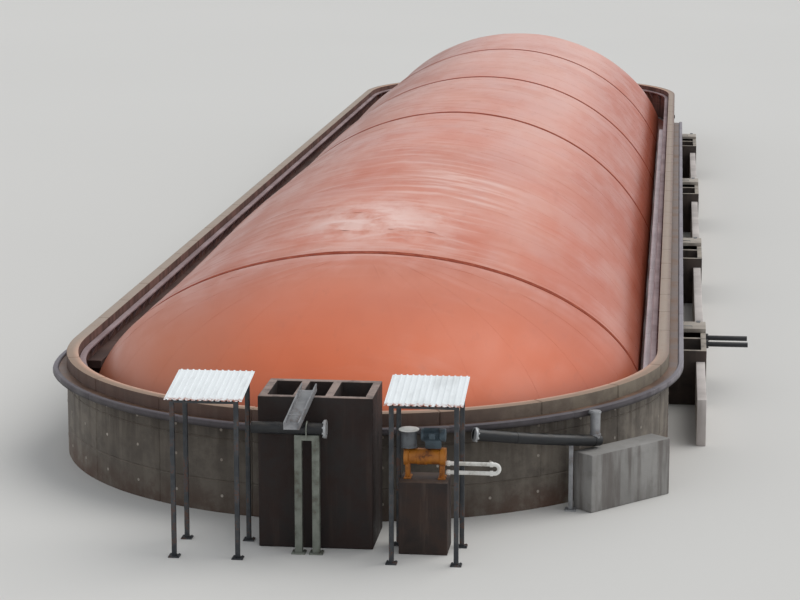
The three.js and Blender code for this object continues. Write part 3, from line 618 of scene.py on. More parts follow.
TRESTLE = metal_finish("trestle_steel", GREY_STEEL, 0x7E8279, 0x62665D, 0x5A4638, 0.35, 0.3, 0.55, 6)
DRUM_PAINT = metal_finish("drum_paint", GREY_STEEL, 0x666A6E, 0x4A4C50, 0x5A4030, 0.35, 0.2, seed=7)
PUMP_PAINT = metal_finish("pump_paint", None, 0xB4701F, 0x8E5220, 0x40261A, 0.6, 0.1, seed=2)
MOTOR_PAINT = metal_finish("motor_paint", None, 0x47565F, 0x343F46, 0x4A3A30, 0.35, 0.2, seed=5)
WHITE_PLASTIC = metal_finish("white_plastic", None, 0xE4E3DE, 0xC9C7C0, 0x8A7A6A, 0.25, 0.0, seed=9)
PIPE = pipe_finish()
MUDDY_WATER = water_finish("muddy_water", 0x5E4638, 0x7A5E4C, 0.42)
SLURRY = water_finish("slurry", 0x17120F, 0x2C221B, 0.15)


# The plan: two straight sides and two half circles, as stations of (centre y, outward x, outward y)
ARC_STEP = radians(2.5)
SIDE_STEP = m(6)
HOOP_STEPS = 72


def on_side(side, y):
    return (y, side, 0.0)


def on_end(end, angle):
    return (end * STRAIGHT_END, cos(angle), sin(angle))


def at(station, offset, z):
    """The point at an offset outwards from the walls' middle line."""
    y, out_x, out_y = station
    reach = WALL_MID + offset
    return (out_x * reach, y + out_y * reach, z)


def jointed(start, end, step, pitch, half_joint):
    """Values from start to end, each with 1 where a joint is and 0 elsewhere."""
    marks = [(start, 0), (end, 0)]
    joints = [start + pitch * i for i in range(1, max(1, round((end - start) / pitch)))]
    for joint in joints:
        marks += [(joint - half_joint, 0), (joint, 1), (joint + half_joint, 0)]
    for i in range(1, ceil((end - start) / step)):
        value = start + step * i
        if all(abs(value - joint) > 2 * half_joint for joint in joints):
            marks.append((value, 0))
    return sorted(marks)


def side_run(side, start, end, pitch):
    return [(on_side(side, y), joint) for y, joint in jointed(start, end, SIDE_STEP, pitch, JOINT_HALF)]


def end_run(end, start, stop, pitch):
    turn, half = pitch / WALL_MID, JOINT_HALF / WALL_MID
    return [(on_end(end, angle), joint) for angle, joint in jointed(start, stop, ARC_STEP, turn, half)]


def ring_at(station, section):
    """A section's (offset, height) pairs as points at one station."""
    return [at(station, u, z) for u, z in section]


def sweep(form, run, section_at):
    form.loft([ring_at(station, section_at(joint)) for station, joint in run])


def hoop(form, section):
    """A bar of one section, once round the plan."""
    turns = [pi * i / HOOP_STEPS for i in range(HOOP_STEPS + 1)]
    rear = [on_end(1, turn) for turn in turns]
    front = [on_end(-1, pi + turn) for turn in turns[:-1]]
    stations = [on_side(1, 0.0), *rear, on_side(-1, 0.0), *front]
    form.loft([ring_at(station, section) for station in stations], loop=True)


def spaced(start, end, pitch):
    count = max(1, round((end - start) / pitch))
    return [start + (end - start) * (i + 0.5) / count for i in range(count)]


def both_sides(pitch):
    """Stations along both sides, about pitch apart."""
    return [on_side(side, y) for side in (-1, 1) for y in spaced(-STRAIGHT_END, STRAIGHT_END, pitch)]


def perimeter(pitch):
    """Stations all round the plan, about pitch apart."""
    turn = pitch / WALL_MID
    rear = [on_end(1, angle) for angle in spaced(0, pi, turn)]
    return both_sides(pitch) + rear + [on_end(-1, angle) for angle in spaced(pi, 2 * pi, turn)]


# Walls: cast in lifts and panels, with a groove at each joint
PANEL = m(2.5)
JOINT_HALF = m(0.03)
JOINT_DEPTH = m(0.02)
LIFTS = [m(0.75), m(1.75)]
WALL_EDGE = m(0.025)
TRIM = GAP / 2 / WALL_MID
QUARTERS = {
    "front_left": (-1, 2 * QUARTER),
    "front_right": (-1, 3 * QUARTER),
    "rear_right": (1, 0.0),
    "rear_left": (1, QUARTER),
}


def wall_section(joint):
    face = WALL_HALF - JOINT_DEPTH * joint
    top, edge = WALL_TOP - JOINT_DEPTH * joint, WALL_EDGE
    outer = [(face, 0.0)]
    for lift in LIFTS:
        outer += [(face, lift - JOINT_HALF), (face - JOINT_DEPTH, lift), (face, lift + JOINT_HALF)]
    outer += [(face, top - edge), (face - edge * 0.3, top - edge * 0.3), (face - edge, top)]
    return outer + [(-u, z) for u, z in reversed(outer)]


def faces_inwards(polygon):
    """True for a wall's face that looks at the tank's inside."""
    x, y, _ = polygon.center
    beyond = y - max(-STRAIGHT_END, min(STRAIGHT_END, y))
    return polygon.normal.dot(Vector((x, beyond, 0)).normalized()) < -0.5


def wall_piece(node, run):
    form = Form()
    sweep(form, run, wall_section)
    piece = make(f"{node}_cast", form, WALL, WALL_INSIDE_SHADE, replaced=[node])
    # faces that look into the tank take the darker inside concrete, painted shade
    for polygon in piece.data.polygons:
        polygon.material_index = int(faces_inwards(polygon))


def walls():
    reach = STRAIGHT_END - GAP / 2
    for name, side in (("left", -1), ("right", 1)):
        wall_piece(f"wall_{name}", side_run(side, -reach, reach, PANEL))
    for name, (end, start) in QUARTERS.items():
        wall_piece(f"wall_{name}", end_run(end, start + TRIM, start + QUARTER - TRIM, PANEL))


# Small marks on the walls' outer faces: plugged form ties and pipe sleeves
TIE_PITCH = m(1.25)
TIE_HEIGHTS = [m(0.4), m(1.25), m(1.95)]
TIE_PROFILE = scaled([(0, 1.0), (0.003, 1.0), (0.004, 0.8), (0.002, 0.6)], 1, m(0.035))
SLEEVE_PITCH = m(6.25)
SLEEVE_HEIGHT = WALL_TOP - m(0.75)
SLEEVE_PROFILE = scaled([(0, 1.0), (0.016, 1.0), (0.018, 0.92), (0.018, 0.8), (0.004, 0.78)], 1, m(0.09))


def wall_marks(name, material, stations, heights, profile, sides):
    """The same small turned mark at each station and height of the outer face."""
    form = Form()
    for station in stations:
        for height in heights:
            form.turned(at(station, WALL_HALF - SKIN, height), (*station[1:], 0), profile, sides)
    make(name, form, material)


walls()
wall_marks("wall_form_tie_plugs", PALE, perimeter(TIE_PITCH), TIE_HEIGHTS, TIE_PROFILE, 12)
wall_marks("wall_pipe_sleeves", PIPE, both_sides(SLEEVE_PITCH), [SLEEVE_HEIGHT], SLEEVE_PROFILE, 20)


# Rim gutter: a ledge with a kerb, and wet silt between the kerb and the wall
KERB_THICK = m(0.13)
GUTTER_IN = WALL_HALF + GAP
GUTTER_OUT = GUTTER_HIGH.x - WALL_MID
KERB_IN = GUTTER_OUT - KERB_THICK
GUTTER_PITCH = m(3.0)
GUTTER_GROOVE = m(0.01)
GUTTER_EDGE = m(0.02)
SILT_DEPTH = m(0.035)
SILT_MARGIN = m(0.012)
CLOSING_ARC = radians(18)
CLOSED_SHARE = 0.97


def gutter_section(joint):
    pull = GUTTER_GROOVE * joint
    face, top, base = GUTTER_OUT - pull, GUTTER_HIGH.z - pull, GUTTER_LOW.z + pull
    kerb, floor, edge = KERB_IN, GUTTER_FLOOR - pull / 2, GUTTER_EDGE
    return [
        (GUTTER_IN, base), (face - edge, base), (face, base + edge), (face, top - edge), (face - edge, top),
        (kerb + edge, top), (kerb, top - edge), (kerb - edge * 0.3, floor + edge), (kerb - edge, floor),
        (GUTTER_IN, floor),
    ]


def silt_section(_joint):
    inner, outer = GUTTER_IN + HAIR, KERB_IN - SILT_MARGIN
    low, high = GUTTER_FLOOR + HAIR, GUTTER_FLOOR + SILT_DEPTH
    return [(inner, low), (outer, low), (outer, high), (inner, high)]


def closed_at(station):
    """How far the kerb has closed in on the wall, near the gutter's left end."""
    y, out_x, out_y = station
    if y > 0 or out_x >= 0:
        return 0.0
    return CLOSED_SHARE * max(0.0, 1 - atan2(-out_y, -out_x) / CLOSING_ARC)


def sweep_gutter(form, run, section_at):
    """Where the gutter closes in, the channel grows narrower and the kerb keeps its width."""
    rings = []
    for station, joint in run:
        closed = closed_at(station)
        section = [(u - closed * (min(u, KERB_IN) - GUTTER_IN), z) for u, z in section_at(joint)]
        rings.append(ring_at(station, section))
    form.loft(rings)


def gutter():
    closing = end_run(-1, pi + TRIM, pi + CLOSING_ARC, CLOSING_ARC * WALL_MID)
    front = closing[:-1] + end_run(-1, pi + CLOSING_ARC, 2 * pi - TRIM, GUTTER_PITCH)
    right = side_run(1, GAP / 2 - STRAIGHT_END, RUN_END, GUTTER_PITCH)
    for name, run in (("front", front), ("right", right)):
        concrete = Form()
        sweep_gutter(concrete, run, gutter_section)
        make(f"gutter_{name}_cast", concrete, GUTTER, replaced=[f"gutter_{name}", f"gutter_{name}_kerb"])
    silt = Form()
    sweep_gutter(silt, front + right, silt_section)
    make("gutter_silt", silt, MUDDY_WATER)


gutter()


# Inner ledges, the rail on the walls' inner face and its anchors
LEDGE_PITCH = m(2.5)
LEDGE_EDGE = m(0.02)
RAIL_Z = WALL_TOP - m(0.24)
RAIL_HALF = m(0.035)
RAIL_OUT = m(0.03)
RAIL_WIDTH = m(0.15)
RAIL_EDGE = m(0.015)
ANCHOR_PITCH = m(1.0)
ANCHOR_HALF = m(0.035)
ANCHOR_LENGTH = m(0.3)


def shelf_section(inner, outer, low, high, edge):
    """A shelf with its two inner edges chamfered."""
    outer_part = [(inner + edge, low), (outer, low), (outer, high), (inner + edge, high)]
    return [*outer_part, (inner, high - edge), (inner, low + edge)]


def ledge_section(joint):
    inner, outer = LEDGE_LOW.x - WALL_MID, LEDGE_HIGH.x - WALL_MID
    return shelf_section(inner, outer, LEDGE_LOW.z, LEDGE_HIGH.z - JOINT_DEPTH * joint, LEDGE_EDGE)


def ledges():
    # the left ledge takes the darker copy of the ledge concrete, painted shade
    for name, side, finish in (("left", -1, LEDGE_SHADED), ("right", 1, LEDGE)):
        form = Form()
        sweep(form, side_run(side, LEDGE_LOW.y, LEDGE_HIGH.y, LEDGE_PITCH), ledge_section)
        make(f"ledge_{name}_cast", form, finish, replaced=[f"ledge_{name}"])


def rail_anchor(form, station):
    """A wedge under the rail, on the wall's face."""
    _, out_x, out_y = station
    along = Vector((-out_y, out_x, 0)) * ANCHOR_HALF
    top = Vector(at(station, -WALL_HALF, RAIL_Z - RAIL_HALF - HAIR))
    tip = top + Vector((-out_x, -out_y, 0)) * (RAIL_OUT + RAIL_WIDTH * 0.8)
    wedge = [top, tip, tip - Vector((0, 0, ANCHOR_HALF)), top - Vector((0, 0, ANCHOR_LENGTH))]
    form.loft([[p - along for p in wedge], [p + along for p in wedge]])


def inner_rail():
    rail, outer = Form(), -WALL_HALF - RAIL_OUT
    hoop(rail, shelf_section(outer - RAIL_WIDTH, outer, RAIL_Z - RAIL_HALF, RAIL_Z + RAIL_HALF, RAIL_EDGE))
    make("inner_rail", rail, RAIL)
    anchors = Form()
    for station in perimeter(ANCHOR_PITCH):
        rail_anchor(anchors, station)
    make("inner_rail_anchors", anchors, RAIL)


ledges()
inner_rail()


# Membrane roof: a sheet over the tank, strapped down at four lines
FOOT = m(6.8)
SKIRT_Z = WALL_TOP - m(1.45)
SKIRT_EDGE = WALL_MID - WALL_HALF - GAP
FRONT_ARCH = np.array([WALL_TOP + m(2.28), m(7.0), m(3.84)])
FULL_ARCH = np.array([WALL_TOP + m(3.0), m(7.2), m(6.14)])
REAR_ARCH = np.array([WALL_TOP + m(2.87), m(7.2), m(5.96)])
BULGE_SHARE = 0.01
SHEET_THICK = 0.006
ROW_STEP = 0.05
COLUMNS = 56
CAP_ROWS = 132
BAY_ENDS = [-STRAIGHT_END, *(y + LINE_HALF + GAP for y in LINES[1:]), STRAIGHT_END]
HEM = [(m(0.01), -m(0.05)), (m(0.01), -m(0.09)), (m(0.04), None), (m(0.2), None), (SKIRT_EDGE - FOOT, None)]
# Shares of the foot's reach, closer together where the sheet falls steeply
SHARES = np.sin(np.linspace(0, 1, COLUMNS + 1) * QUARTER)


def arch_at(y):
    """Crown, width and rise of the section at each y."""
    grown = np.sin(np.clip((y - LINES[0]) / (LINES[1] - LINES[0]), 0, 1) * QUARTER)[..., None]
    sunk = np.clip((y - LINES[-1]) / (STRAIGHT_END - LINES[-1]), 0, 1)[..., None]
    full = FRONT_ARCH + (FULL_ARCH - FRONT_ARCH) * grown
    return full + (REAR_ARCH - full) * sunk


def bulge_at(y):
    """How far the sheet stands up between two lines."""
    height = np.zeros_like(y)
    for near, far in zip(LINES, LINES[1:]):
        share = np.clip((y - near) / (far - near), 0, 1)
        height += BULGE_SHARE * (far - near) * np.sin(share * pi) ** 2
    return height


def sheet_height(y, reach):
    """The smooth sheet's height at a distance from its middle line."""
    crown, width, rise = np.moveaxis(arch_at(y), -1, 0)
    fall = rise * (1 - np.sqrt(1 - (reach / width) ** 2))
    return crown - fall + bulge_at(y) * (1 - (reach / FOOT) ** 4)


def cloud(points, stretch, seed):
    """Smooth noise, about -0.5 to 0.5, at each point."""
    spots = points * np.array(stretch) + np.array(seed)
    return np.array([noise.noise(Vector(p)) for p in spots.reshape(-1, 3)]).reshape(points.shape[:-1])


def bell(value, width):
    return np.exp(-((value / width) ** 2))


def unevenness(points, share):
    """How far the real, uneven sheet stands off the smooth one, along its normal."""
    x, y = points[..., 0], points[..., 1]
    from_line = y - LINES[0]
    broad = cloud(points, (0.5, 0.35, 0.5), 3.1) * 0.020
    wander = points + np.stack([0 * x, cloud(points, (0.9, 0.6, 0.9), 8.0) * 0.5, 0 * x], -1)
    ridge = 1 - np.abs(cloud(wander, (0.95, 2.2, 1.0), 14.2)) * 3.4
    folds = np.clip(ridge, 0, 1) ** 2 * 0.022
    ripple = cloud(wander, (1.5, 5.0, 1.6), 27.5) * 0.009
    past_line = np.clip((from_line + 0.4) / 0.5, 0, 1) * np.clip(1 - from_line / 13.0, 0.3, 1)
    crest = bell(x - 0.3, 1.9) * past_line * np.clip(0.75 + cloud(points, (0.5, 0.35, 0.5), 41.0) * 2.2, 0, 1)
    puckers = 0.45 * bell(from_line + 0.7, 0.6) * bell(x, 2.4)
    active = 0.10 + crest + puckers + 0.7 * bell(y - CREST_PATCH.y, 1.8) * bell(x - CREST_PATCH.x, 1.5)
    free = np.ones_like(y)
    pinch = np.zeros_like(y)
    for line in LINES:
        free *= 1 - bell(y - line, 0.16)
        pinch -= 0.016 * bell(y - line, 0.24)
    around = np.arctan2(np.clip(np.abs(y) - STRAIGHT_END, 0, None) * np.sign(y), x) * FOOT + y
    near_foot = np.clip((share - 0.6) / 0.3, 0, 1) * np.clip((1 - share) / 0.06, 0, 1)
    pleats = cloud(around[..., None] * np.ones(3), (2.6, 0, 0), (0, 5.0, 1.0)) * 0.006 * near_foot
    return (broad + (folds + ripple) * active) * free * (1 - share ** 8) + pinch * (1 - share ** 8) + pleats


def normals_of(grid):
    normal = np.cross(np.gradient(grid, axis=0), np.gradient(grid, axis=1))
    length = np.linalg.norm(normal, axis=-1, keepdims=True)
    normal = np.where(length > 1e-9, normal / np.maximum(length, 1e-9), np.array([0, 0, 1.0]))
    return normal * np.where(normal[..., 2:] < 0, -1, 1)


def lifted(points):
    """Points of the uneven sheet; each row runs from the crown to the foot."""
    share = np.broadcast_to(SHARES, points.shape[:-1])
    return points + normals_of(points) * unevenness(points, share)[..., None]


def skirt(points, outward):
    """Adds the hem, turned down at the foot and out to the wall, to each row of points."""
    foot = points[:, -1]
    columns = [points]
    for reach, drop in HEM:
        extra = foot + outward * reach
        extra[:, 2] = foot[:, 2] + drop if drop is not None else SKIRT_Z
        columns.append(extra[:, None])
    return np.concatenate(columns, axis=1)


def vault_grid(ys):
    """The straight sheet from foot to foot, with a row at each y."""
    y = np.repeat(np.array(ys)[:, None], len(SHARES), axis=1)
    reach = np.repeat((SHARES * FOOT)[None], len(ys), axis=0)
    halves = []
    for side in (-1, 1):
        points = np.stack([side * reach, y, sheet_height(y, reach)], axis=-1)
        halves.append(skirt(lifted(points), np.array([side, 0, 0.0])))
    return np.concatenate([halves[0][:, ::-1], halves[1][:, 1:]], axis=1)


def cap_rows(end, angles):
    """A cap's uneven surface with a row at each angle, and the rows' directions."""
    reach = SHARES * FOOT
    direction = np.stack([np.cos(angles), end * np.sin(angles), 0 * angles], -1)
    points = direction[:, None] * reach[None, :, None]
    points[..., 1] += end * (STRAIGHT_END + GAP / 2)
    points[..., 2] = sheet_height(np.full(len(SHARES), end * STRAIGHT_END), reach)[None]
    return lifted(points), direction


def sheet_body(form, outer, thick, layer_lift=0.0):
    """A closed sheet of the given thickness under a grid of points."""
    normal = normals_of(outer)
    layers = [outer + normal * layer_lift, outer + normal * (layer_lift - thick)]
    rows, columns = outer.shape[:2]
    layer = rows * columns
    index = np.arange(layer).reshape(rows, columns)
    corners = [index[:-1, :-1], index[1:, :-1], index[1:, 1:], index[:-1, 1:]]
    quads = np.stack(corners, -1).reshape(-1, 4)
    border = np.concatenate([index[0, :], index[1:, -1], index[-1, -2::-1], index[-2:0:-1, 0]])
    after = np.roll(border, -1)
    edge = np.stack([border, after, after + layer, border + layer], -1)
    faces = np.concatenate([quads, quads[:, ::-1] + layer, edge])
    form.add(np.concatenate([points.reshape(-1, 3) for points in layers]).tolist(), faces.tolist())


def length_of(row):
    return float(np.linalg.norm(np.diff(row, axis=0), axis=-1).sum())


def grid_area(grid):
    """Area of a grid of points, in square metres."""
    down = grid[1:, :-1] - grid[:-1, :-1]
    across = grid[:-1, 1:] - grid[:-1, :-1]
    return float(np.linalg.norm(np.cross(down, across), axis=-1).sum())


# Welded seams across the sheet, and the dark straps over it
SEAM_PITCH = m(2.0)
SEAM_HALF = m(0.035)
SEAM_LIFT = 0.0008
SEAM_THICK = 0.0015
LINE_CLEAR = m(0.35)
GORE_ANGLE = radians(15)
GORE_STEP = 0.01
STRAP_EDGES = [-1.0, -0.86, -0.72, 0.0, 0.72, 0.86, 1.0]
STRAP_THICK = 0.004
STRAP_LIFT = 0.0055
CLAMP_INSETS = (m(0.16), m(0.04))
CLAMP_THICK = m(0.03)
CLAMP_BOLT = m(0.06)
CLAMP_BOLT_PITCH = m(0.6)


def roof_sheet(part, grid, bands, flat, **measured):
    """One stretched part of the sheet, welded where its points meet, with seams along the bands."""
    form, welds = Form(), Form()
    sheet_body(form, grid, SHEET_THICK)
    name = f"membrane_{part}"
    piece = make(name, form, MEMBRANE, replaced=[f"roof_{part}"], crease=SOFT_CREASE)
    with opened(piece.data) as body:
        bmesh.ops.remove_doubles(body, verts=body.verts, dist=MERGE / 10)
    for band in bands:
        sheet_body(welds, band, SEAM_THICK, SEAM_LIFT)
    seams = make(f"{name}_seams", welds, MEMBRANE, crease=SOFT_CREASE)


def bay_seams(start, end):
    """Bands across a bay, clear of the dark lines."""
    for i in range(int((end - start) / SEAM_PITCH)):
        y = start + SEAM_PITCH * (i + 0.5)
        if all(abs(y - line) > LINE_CLEAR for line in LINES):
            yield vault_grid([y - SEAM_HALF, y, y + SEAM_HALF])[:, 5:-5]


def bay(index):
    start, end = BAY_ENDS[index], BAY_ENDS[index + 1]
    rows = ceil((end - start) / ROW_STEP)
    grid = vault_grid(np.linspace(start + GAP / 2, end - GAP / 2, rows + 1))
    roof_sheet(f"bay_{index + 1}", grid, bay_seams(start, end), (length_of(grid[0]), end - start))


def cap_seams(end):
    """Bands from a cap's crown to its foot."""
    for i in range(1, round(pi / GORE_ANGLE)):
        angle = i * GORE_ANGLE
        across = np.array([-sin(angle), end * cos(angle), 0.0]) * SEAM_HALF
        row = cap_rows(end, np.array([angle - GORE_STEP, angle, angle + GORE_STEP]))[0][1]
        yield np.stack([row - across, row, row + across])[:, 6:]


def cap(which, end):
    grid = skirt(*cap_rows(end, np.linspace(0, pi, CAP_ROWS + 1)))
    width, area = 2 * length_of(grid[0]), grid_area(grid)
    roof_sheet(f"{which}_cap", grid, cap_seams(end), (width, max(width / 2, area / width)), area=area)


def strap(index):
    """A dark band over the sheet, sewn along both edges."""
    grid = vault_grid([LINES[index] + STRAP_HALF * share for share in STRAP_EDGES])[:, 2:-2]
    form = Form()
    sheet_body(form, grid, STRAP_THICK, STRAP_LIFT)
    node = f"roof_line_{index + 1}"
    piece = make(f"roof_strap_{index + 1}", form, STRAP, replaced=[node], crease=SOFT_CREASE)


def clamp_bar():
    """The flat bar that bolts the hem to the wall."""
    form = Form()
    inner, outer = (SKIRT_EDGE - inset - WALL_MID for inset in CLAMP_INSETS)
    low, high = SKIRT_Z + SKIN, SKIRT_Z + CLAMP_THICK
    hoop(form, [(inner, low), (outer, low), (outer, high), (inner, high)])
    for station in perimeter(CLAMP_BOLT_PITCH):
        form.bolt(at(station, (inner + outer) / 2, high), Z_AXIS, CLAMP_BOLT)
    make("membrane_clamp_bar", form, GALVANISED)


for number in range(LINE_COUNT):
    bay(number)
cap("front", -1)
cap("rear", 1)
for number in range(LINE_COUNT):
    strap(number)
clamp_bar()


# Side chambers, their covers, the water in them and the kerbs between them
CHAMBER_WALL = m(0.15)
WATER_DROP = m(0.5)
HANDLE_HALF = m(0.12)
HANDLE_RISE = m(0.05)
HANDLE_RADIUS = m(0.012)
HINGE_INSET, HINGE_HALF, HINGE_REACH, HINGE_THICK = m(0.2), m(0.05), m(0.16), m(0.015)
PIN_HALF, PIN_RADIUS = m(0.06), m(0.015)
STUB_RADIUS, STUB_BORE, STUB_BOLT = m(0.07), m(0.1), m(0.03)
STUB_FLANGE, STUB_FLANGE_THICK, STUB_EDGE = m(0.12), m(0.06), m(0.005)


def chamber_water(index):
    low, high, mid = span(f"chamber_{index}")
    wall, inset, level = CHAMBER_WALL, CHAMBER_WALL + SKIN, high.z - WATER_DROP
    form = Form()
    for front, back in ((low.y + wall, mid.y - wall / 2), (mid.y + wall / 2, high.y - wall)):
        bottom = (low.x + inset, front + SKIN, low.z + inset)
        form.block(bottom, (high.x - inset, back - SKIN, level), SKIN)
    make(f"chamber_{index}_water", form, SLURRY)


def cover_fittings(index):
    """A handle and two hinges on a chamber's cover."""
    low, high, mid = span(f"chamber_{index}_cover")
    form = Form()
    seat, grip, y = high.z - 0.002, high.z + HANDLE_RISE, low.y + HANDLE_HALF
    left, right = mid.x - HANDLE_HALF, mid.x + HANDLE_HALF
    form.tube([(left, y, seat), (left, y, grip), (right, y, grip), (right, y, seat)], HANDLE_RADIUS, 10)
    pin_y, pin_z = high.y - m(0.03), high.z + m(0.02)
    for x in (low.x + HINGE_INSET, high.x - HINGE_INSET):
        corner = (x + HINGE_HALF, high.y - m(0.02), high.z + HINGE_THICK)
        form.block((x - HINGE_HALF, high.y - HINGE_REACH, high.z), corner, SKIN)
        form.rod((x - PIN_HALF, pin_y, pin_z), (x + PIN_HALF, pin_y, pin_z), PIN_RADIUS, 12)
    make(f"chamber_{index}_cover_fittings", form, GALVANISED)


def stub_pipe(index):
    """A hose stub with a bolted flange on the chamber's outer wall."""
    node = f"chamber_1_pipe_{index}"
    low, high, mid = span(node)
    start, length, radius, thick = (low.x, mid.y, mid.z), high.x - low.x, STUB_RADIUS, STUB_FLANGE_THICK
    form = Form()
    mouth = [(length - 0.003, radius), (length, radius * 0.96), (length, radius * 0.8)]
    form.turned(start, X_AXIS, [(0, radius), *mouth, (length - STUB_BORE, radius * 0.78)])
    rim = STUB_FLANGE
    form.turned(start, X_AXIS, [(0, rim), (thick * 0.9, rim), (thick, rim - STUB_EDGE)])
    form.bolt_ring((low.x + thick, mid.y, mid.z), X_AXIS, (radius + rim) / 2, 6, STUB_BOLT)
    make(f"{node}_hose", form, PIPE, replaced=[node])


def chambers():
    for index in range(1, 5):
        refined(f"chamber_{index}", "cast", CHAMBER, CAST_EDGE)
        refined(f"chamber_{index}_cover", "", PALE, SLAB_EDGE, name=f"chamber_{index}_lid")
        refined(f"side_kerb_{index}", "cast", KERB, CAST_EDGE)
        chamber_water(index)
        cover_fittings(index)
    for index in (1, 2):
        stub_pipe(index)


chambers()


# Feed box with slurry in its wells, and the open channel down its front
FEED_LOW, FEED_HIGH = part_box("feed_box")
FEED_WALL = m(0.18)
FEED_PARTITIONS = [m(-0.36), m(0.34)]
WELL_DEPTH = m(1.6)
SLURRY_DROP = m(0.35)
CHANNEL_HALF = m(0.17)
CHANNEL_SIDE = m(0.16)
CHANNEL_SHEET = m(0.012)
CHANNEL_LIP = m(0.03)
CHANNEL_RIM = Vector((m(-0.13), FEED_LOW.y, FEED_HIGH.z + 2 * GAP))
CHANNEL_END = Vector((m(-0.3), FEED_LOW.y - m(1.0), FEED_HIGH.z - m(0.48)))


def feed_box():
    refined("feed_box", "cast", FEED, BLOCK_EDGE)
    lefts = [FEED_LOW.x + FEED_WALL, *(x + FEED_WALL / 2 for x in FEED_PARTITIONS)]
    rights = [*(x - FEED_WALL / 2 for x in FEED_PARTITIONS), FEED_HIGH.x - FEED_WALL]
    front, back = FEED_LOW.y + FEED_WALL + SKIN, FEED_HIGH.y - FEED_WALL - SKIN
    low, high = FEED_HIGH.z - WELL_DEPTH + SKIN, FEED_HIGH.z - SLURRY_DROP
    form = Form()
    for left, right in zip(lefts, rights):
        form.block((left + SKIN, front, low), (right - SKIN, back, high), SKIN)
    make("feed_box_slurry", form, SLURRY)


def feed_channel():
    """A folded steel trough with turned lips, stiffened by two straps."""
    start, end = CHANNEL_RIM + (CHANNEL_RIM - CHANNEL_END) * 0.2, CHANNEL_END
    half, side, thick, lip = CHANNEL_HALF, CHANNEL_SIDE, CHANNEL_SHEET, CHANNEL_LIP
    right = [(half, 0), (half, side - thick), (half, side), (half - lip, side), (half - lip, side - thick)]
    right += [(half - thick, side - thick), (half - thick, thick)]
    left = [(-u, v) for u, v in reversed(right)]
    outline = left[-1:] + right + left[:-1]
    form = Form()
    form.loft([[start + Vector((u, 0, v)) + (end - start) * share for u, v in outline] for share in (0, 1)])
    for share in (0.2, 0.8):
        low = start + (end - start) * share + Vector((-half, -m(0.02), side - m(0.01)))
        form.block(low, low + Vector((2 * half, m(0.04), thick)), SKIN)
    make("feed_channel_trough", form, GALVANISED, replaced=["feed_channel"])


# Feed pipe on its trestle
PIPE_RADIUS = m(0.13)
FLANGE_THICK = m(0.05)
FLANGE_BOLT = m(0.045)
PIPE_BORE = m(0.12)
COLLAR_AT, COLLAR_LENGTH = m(0.5), m(0.12)
SADDLE = PIPE_RADIUS + m(0.02)
SADDLE_ROD = m(0.016)
SADDLE_DROP = m(0.06)
TRESTLE_LEG = m(0.08)
TRESTLE_PLATE = m(0.3)


def bolted_flange(name, start, axis, flange_radius):
    """A flange with a ring of bolts, whose face is at start and that reaches back against axis."""
    start, axis = Vector(start), Vector(axis).normalized()
    back = start - axis * FLANGE_THICK
    profile = [(0, flange_radius * 0.97), (FLANGE_THICK * 0.15, flange_radius), (FLANGE_THICK, flange_radius)]
    form = Form()
    form.turned(back, axis, profile, 32)
    form.bolt_ring(back, -axis, (PIPE_RADIUS + flange_radius) / 2, 8, FLANGE_BOLT)
    make(name, form, FLANGE)


def feed_pipe():
    low, high, mid = span("feed_pipe")
    length, radius = high.x - low.x, PIPE_RADIUS
    bore = [(length, radius * 0.84), (length - PIPE_BORE, radius * 0.82)]
    mouth = [(length - 0.001, radius), (length, radius * 0.95), *bore]
    form = Form()
    form.turned((low.x, mid.y, mid.z), X_AXIS, [(0, radius * 0.84), (0, radius), *mouth], 32)
    collar = [(0, radius * 1.06), (COLLAR_LENGTH, radius * 1.06)]
    form.turned((low.x + COLLAR_AT, mid.y, mid.z), X_AXIS, collar, 32)
    make("feed_pipe_line", form, PIPE, replaced=["feed_pipe"])
    bolted_flange("feed_pipe_flange", (high.x, mid.y, mid.z), X_AXIS, (high.z - low.z) / 2)


def trestle():
    low, high, mid = span("feed_pipe_trestle")
    refined("feed_pipe_trestle", "frame", TRESTLE, STEEL_EDGE)
    form = Form()
    for x in (low.x + TRESTLE_LEG, high.x - TRESTLE_LEG):
        form.base_plate(x, mid.y, TRESTLE_PLATE)
    _, _, pipe = span("feed_pipe")
    turns = np.linspace(0, pi, 17)
    arc = [(mid.x, pipe.y + SADDLE * cos(a), pipe.z + SADDLE * sin(a)) for a in turns]
    foot = high.z - SADDLE_DROP
    form.tube([(mid.x, pipe.y + SADDLE, foot), *arc, (mid.x, pipe.y - SADDLE, foot)], SADDLE_ROD, 10)
    make("feed_pipe_trestle_fittings", form, TRESTLE)


feed_box()
feed_channel()
feed_pipe()
trestle()


# Shelters: ribbed sheet on purlins and a welded frame
RIB_PITCH = m(0.125)
RIB_HEIGHT = m(0.018)
RIB_TOP = m(0.03)
SHEET_STEEL = 0.0015
PURLIN_WIDTH = m(0.05)
PURLIN_DROP = m(0.06)
PURLIN_INSETS = m(0.15), m(0.25)
PURLIN_SHORT = m(0.03)
SHELTER_POST = m(0.1)
SHELTER_PLATE = m(0.24)
SHELTER_LOW, SHELTER_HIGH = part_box("shelter_left_roof")
SHELTER_SLOPE = (SHELTER_HIGH.z - SHELTER_LOW.z - PURLIN_DROP) / (SHELTER_HIGH.y - SHELTER_LOW.y)


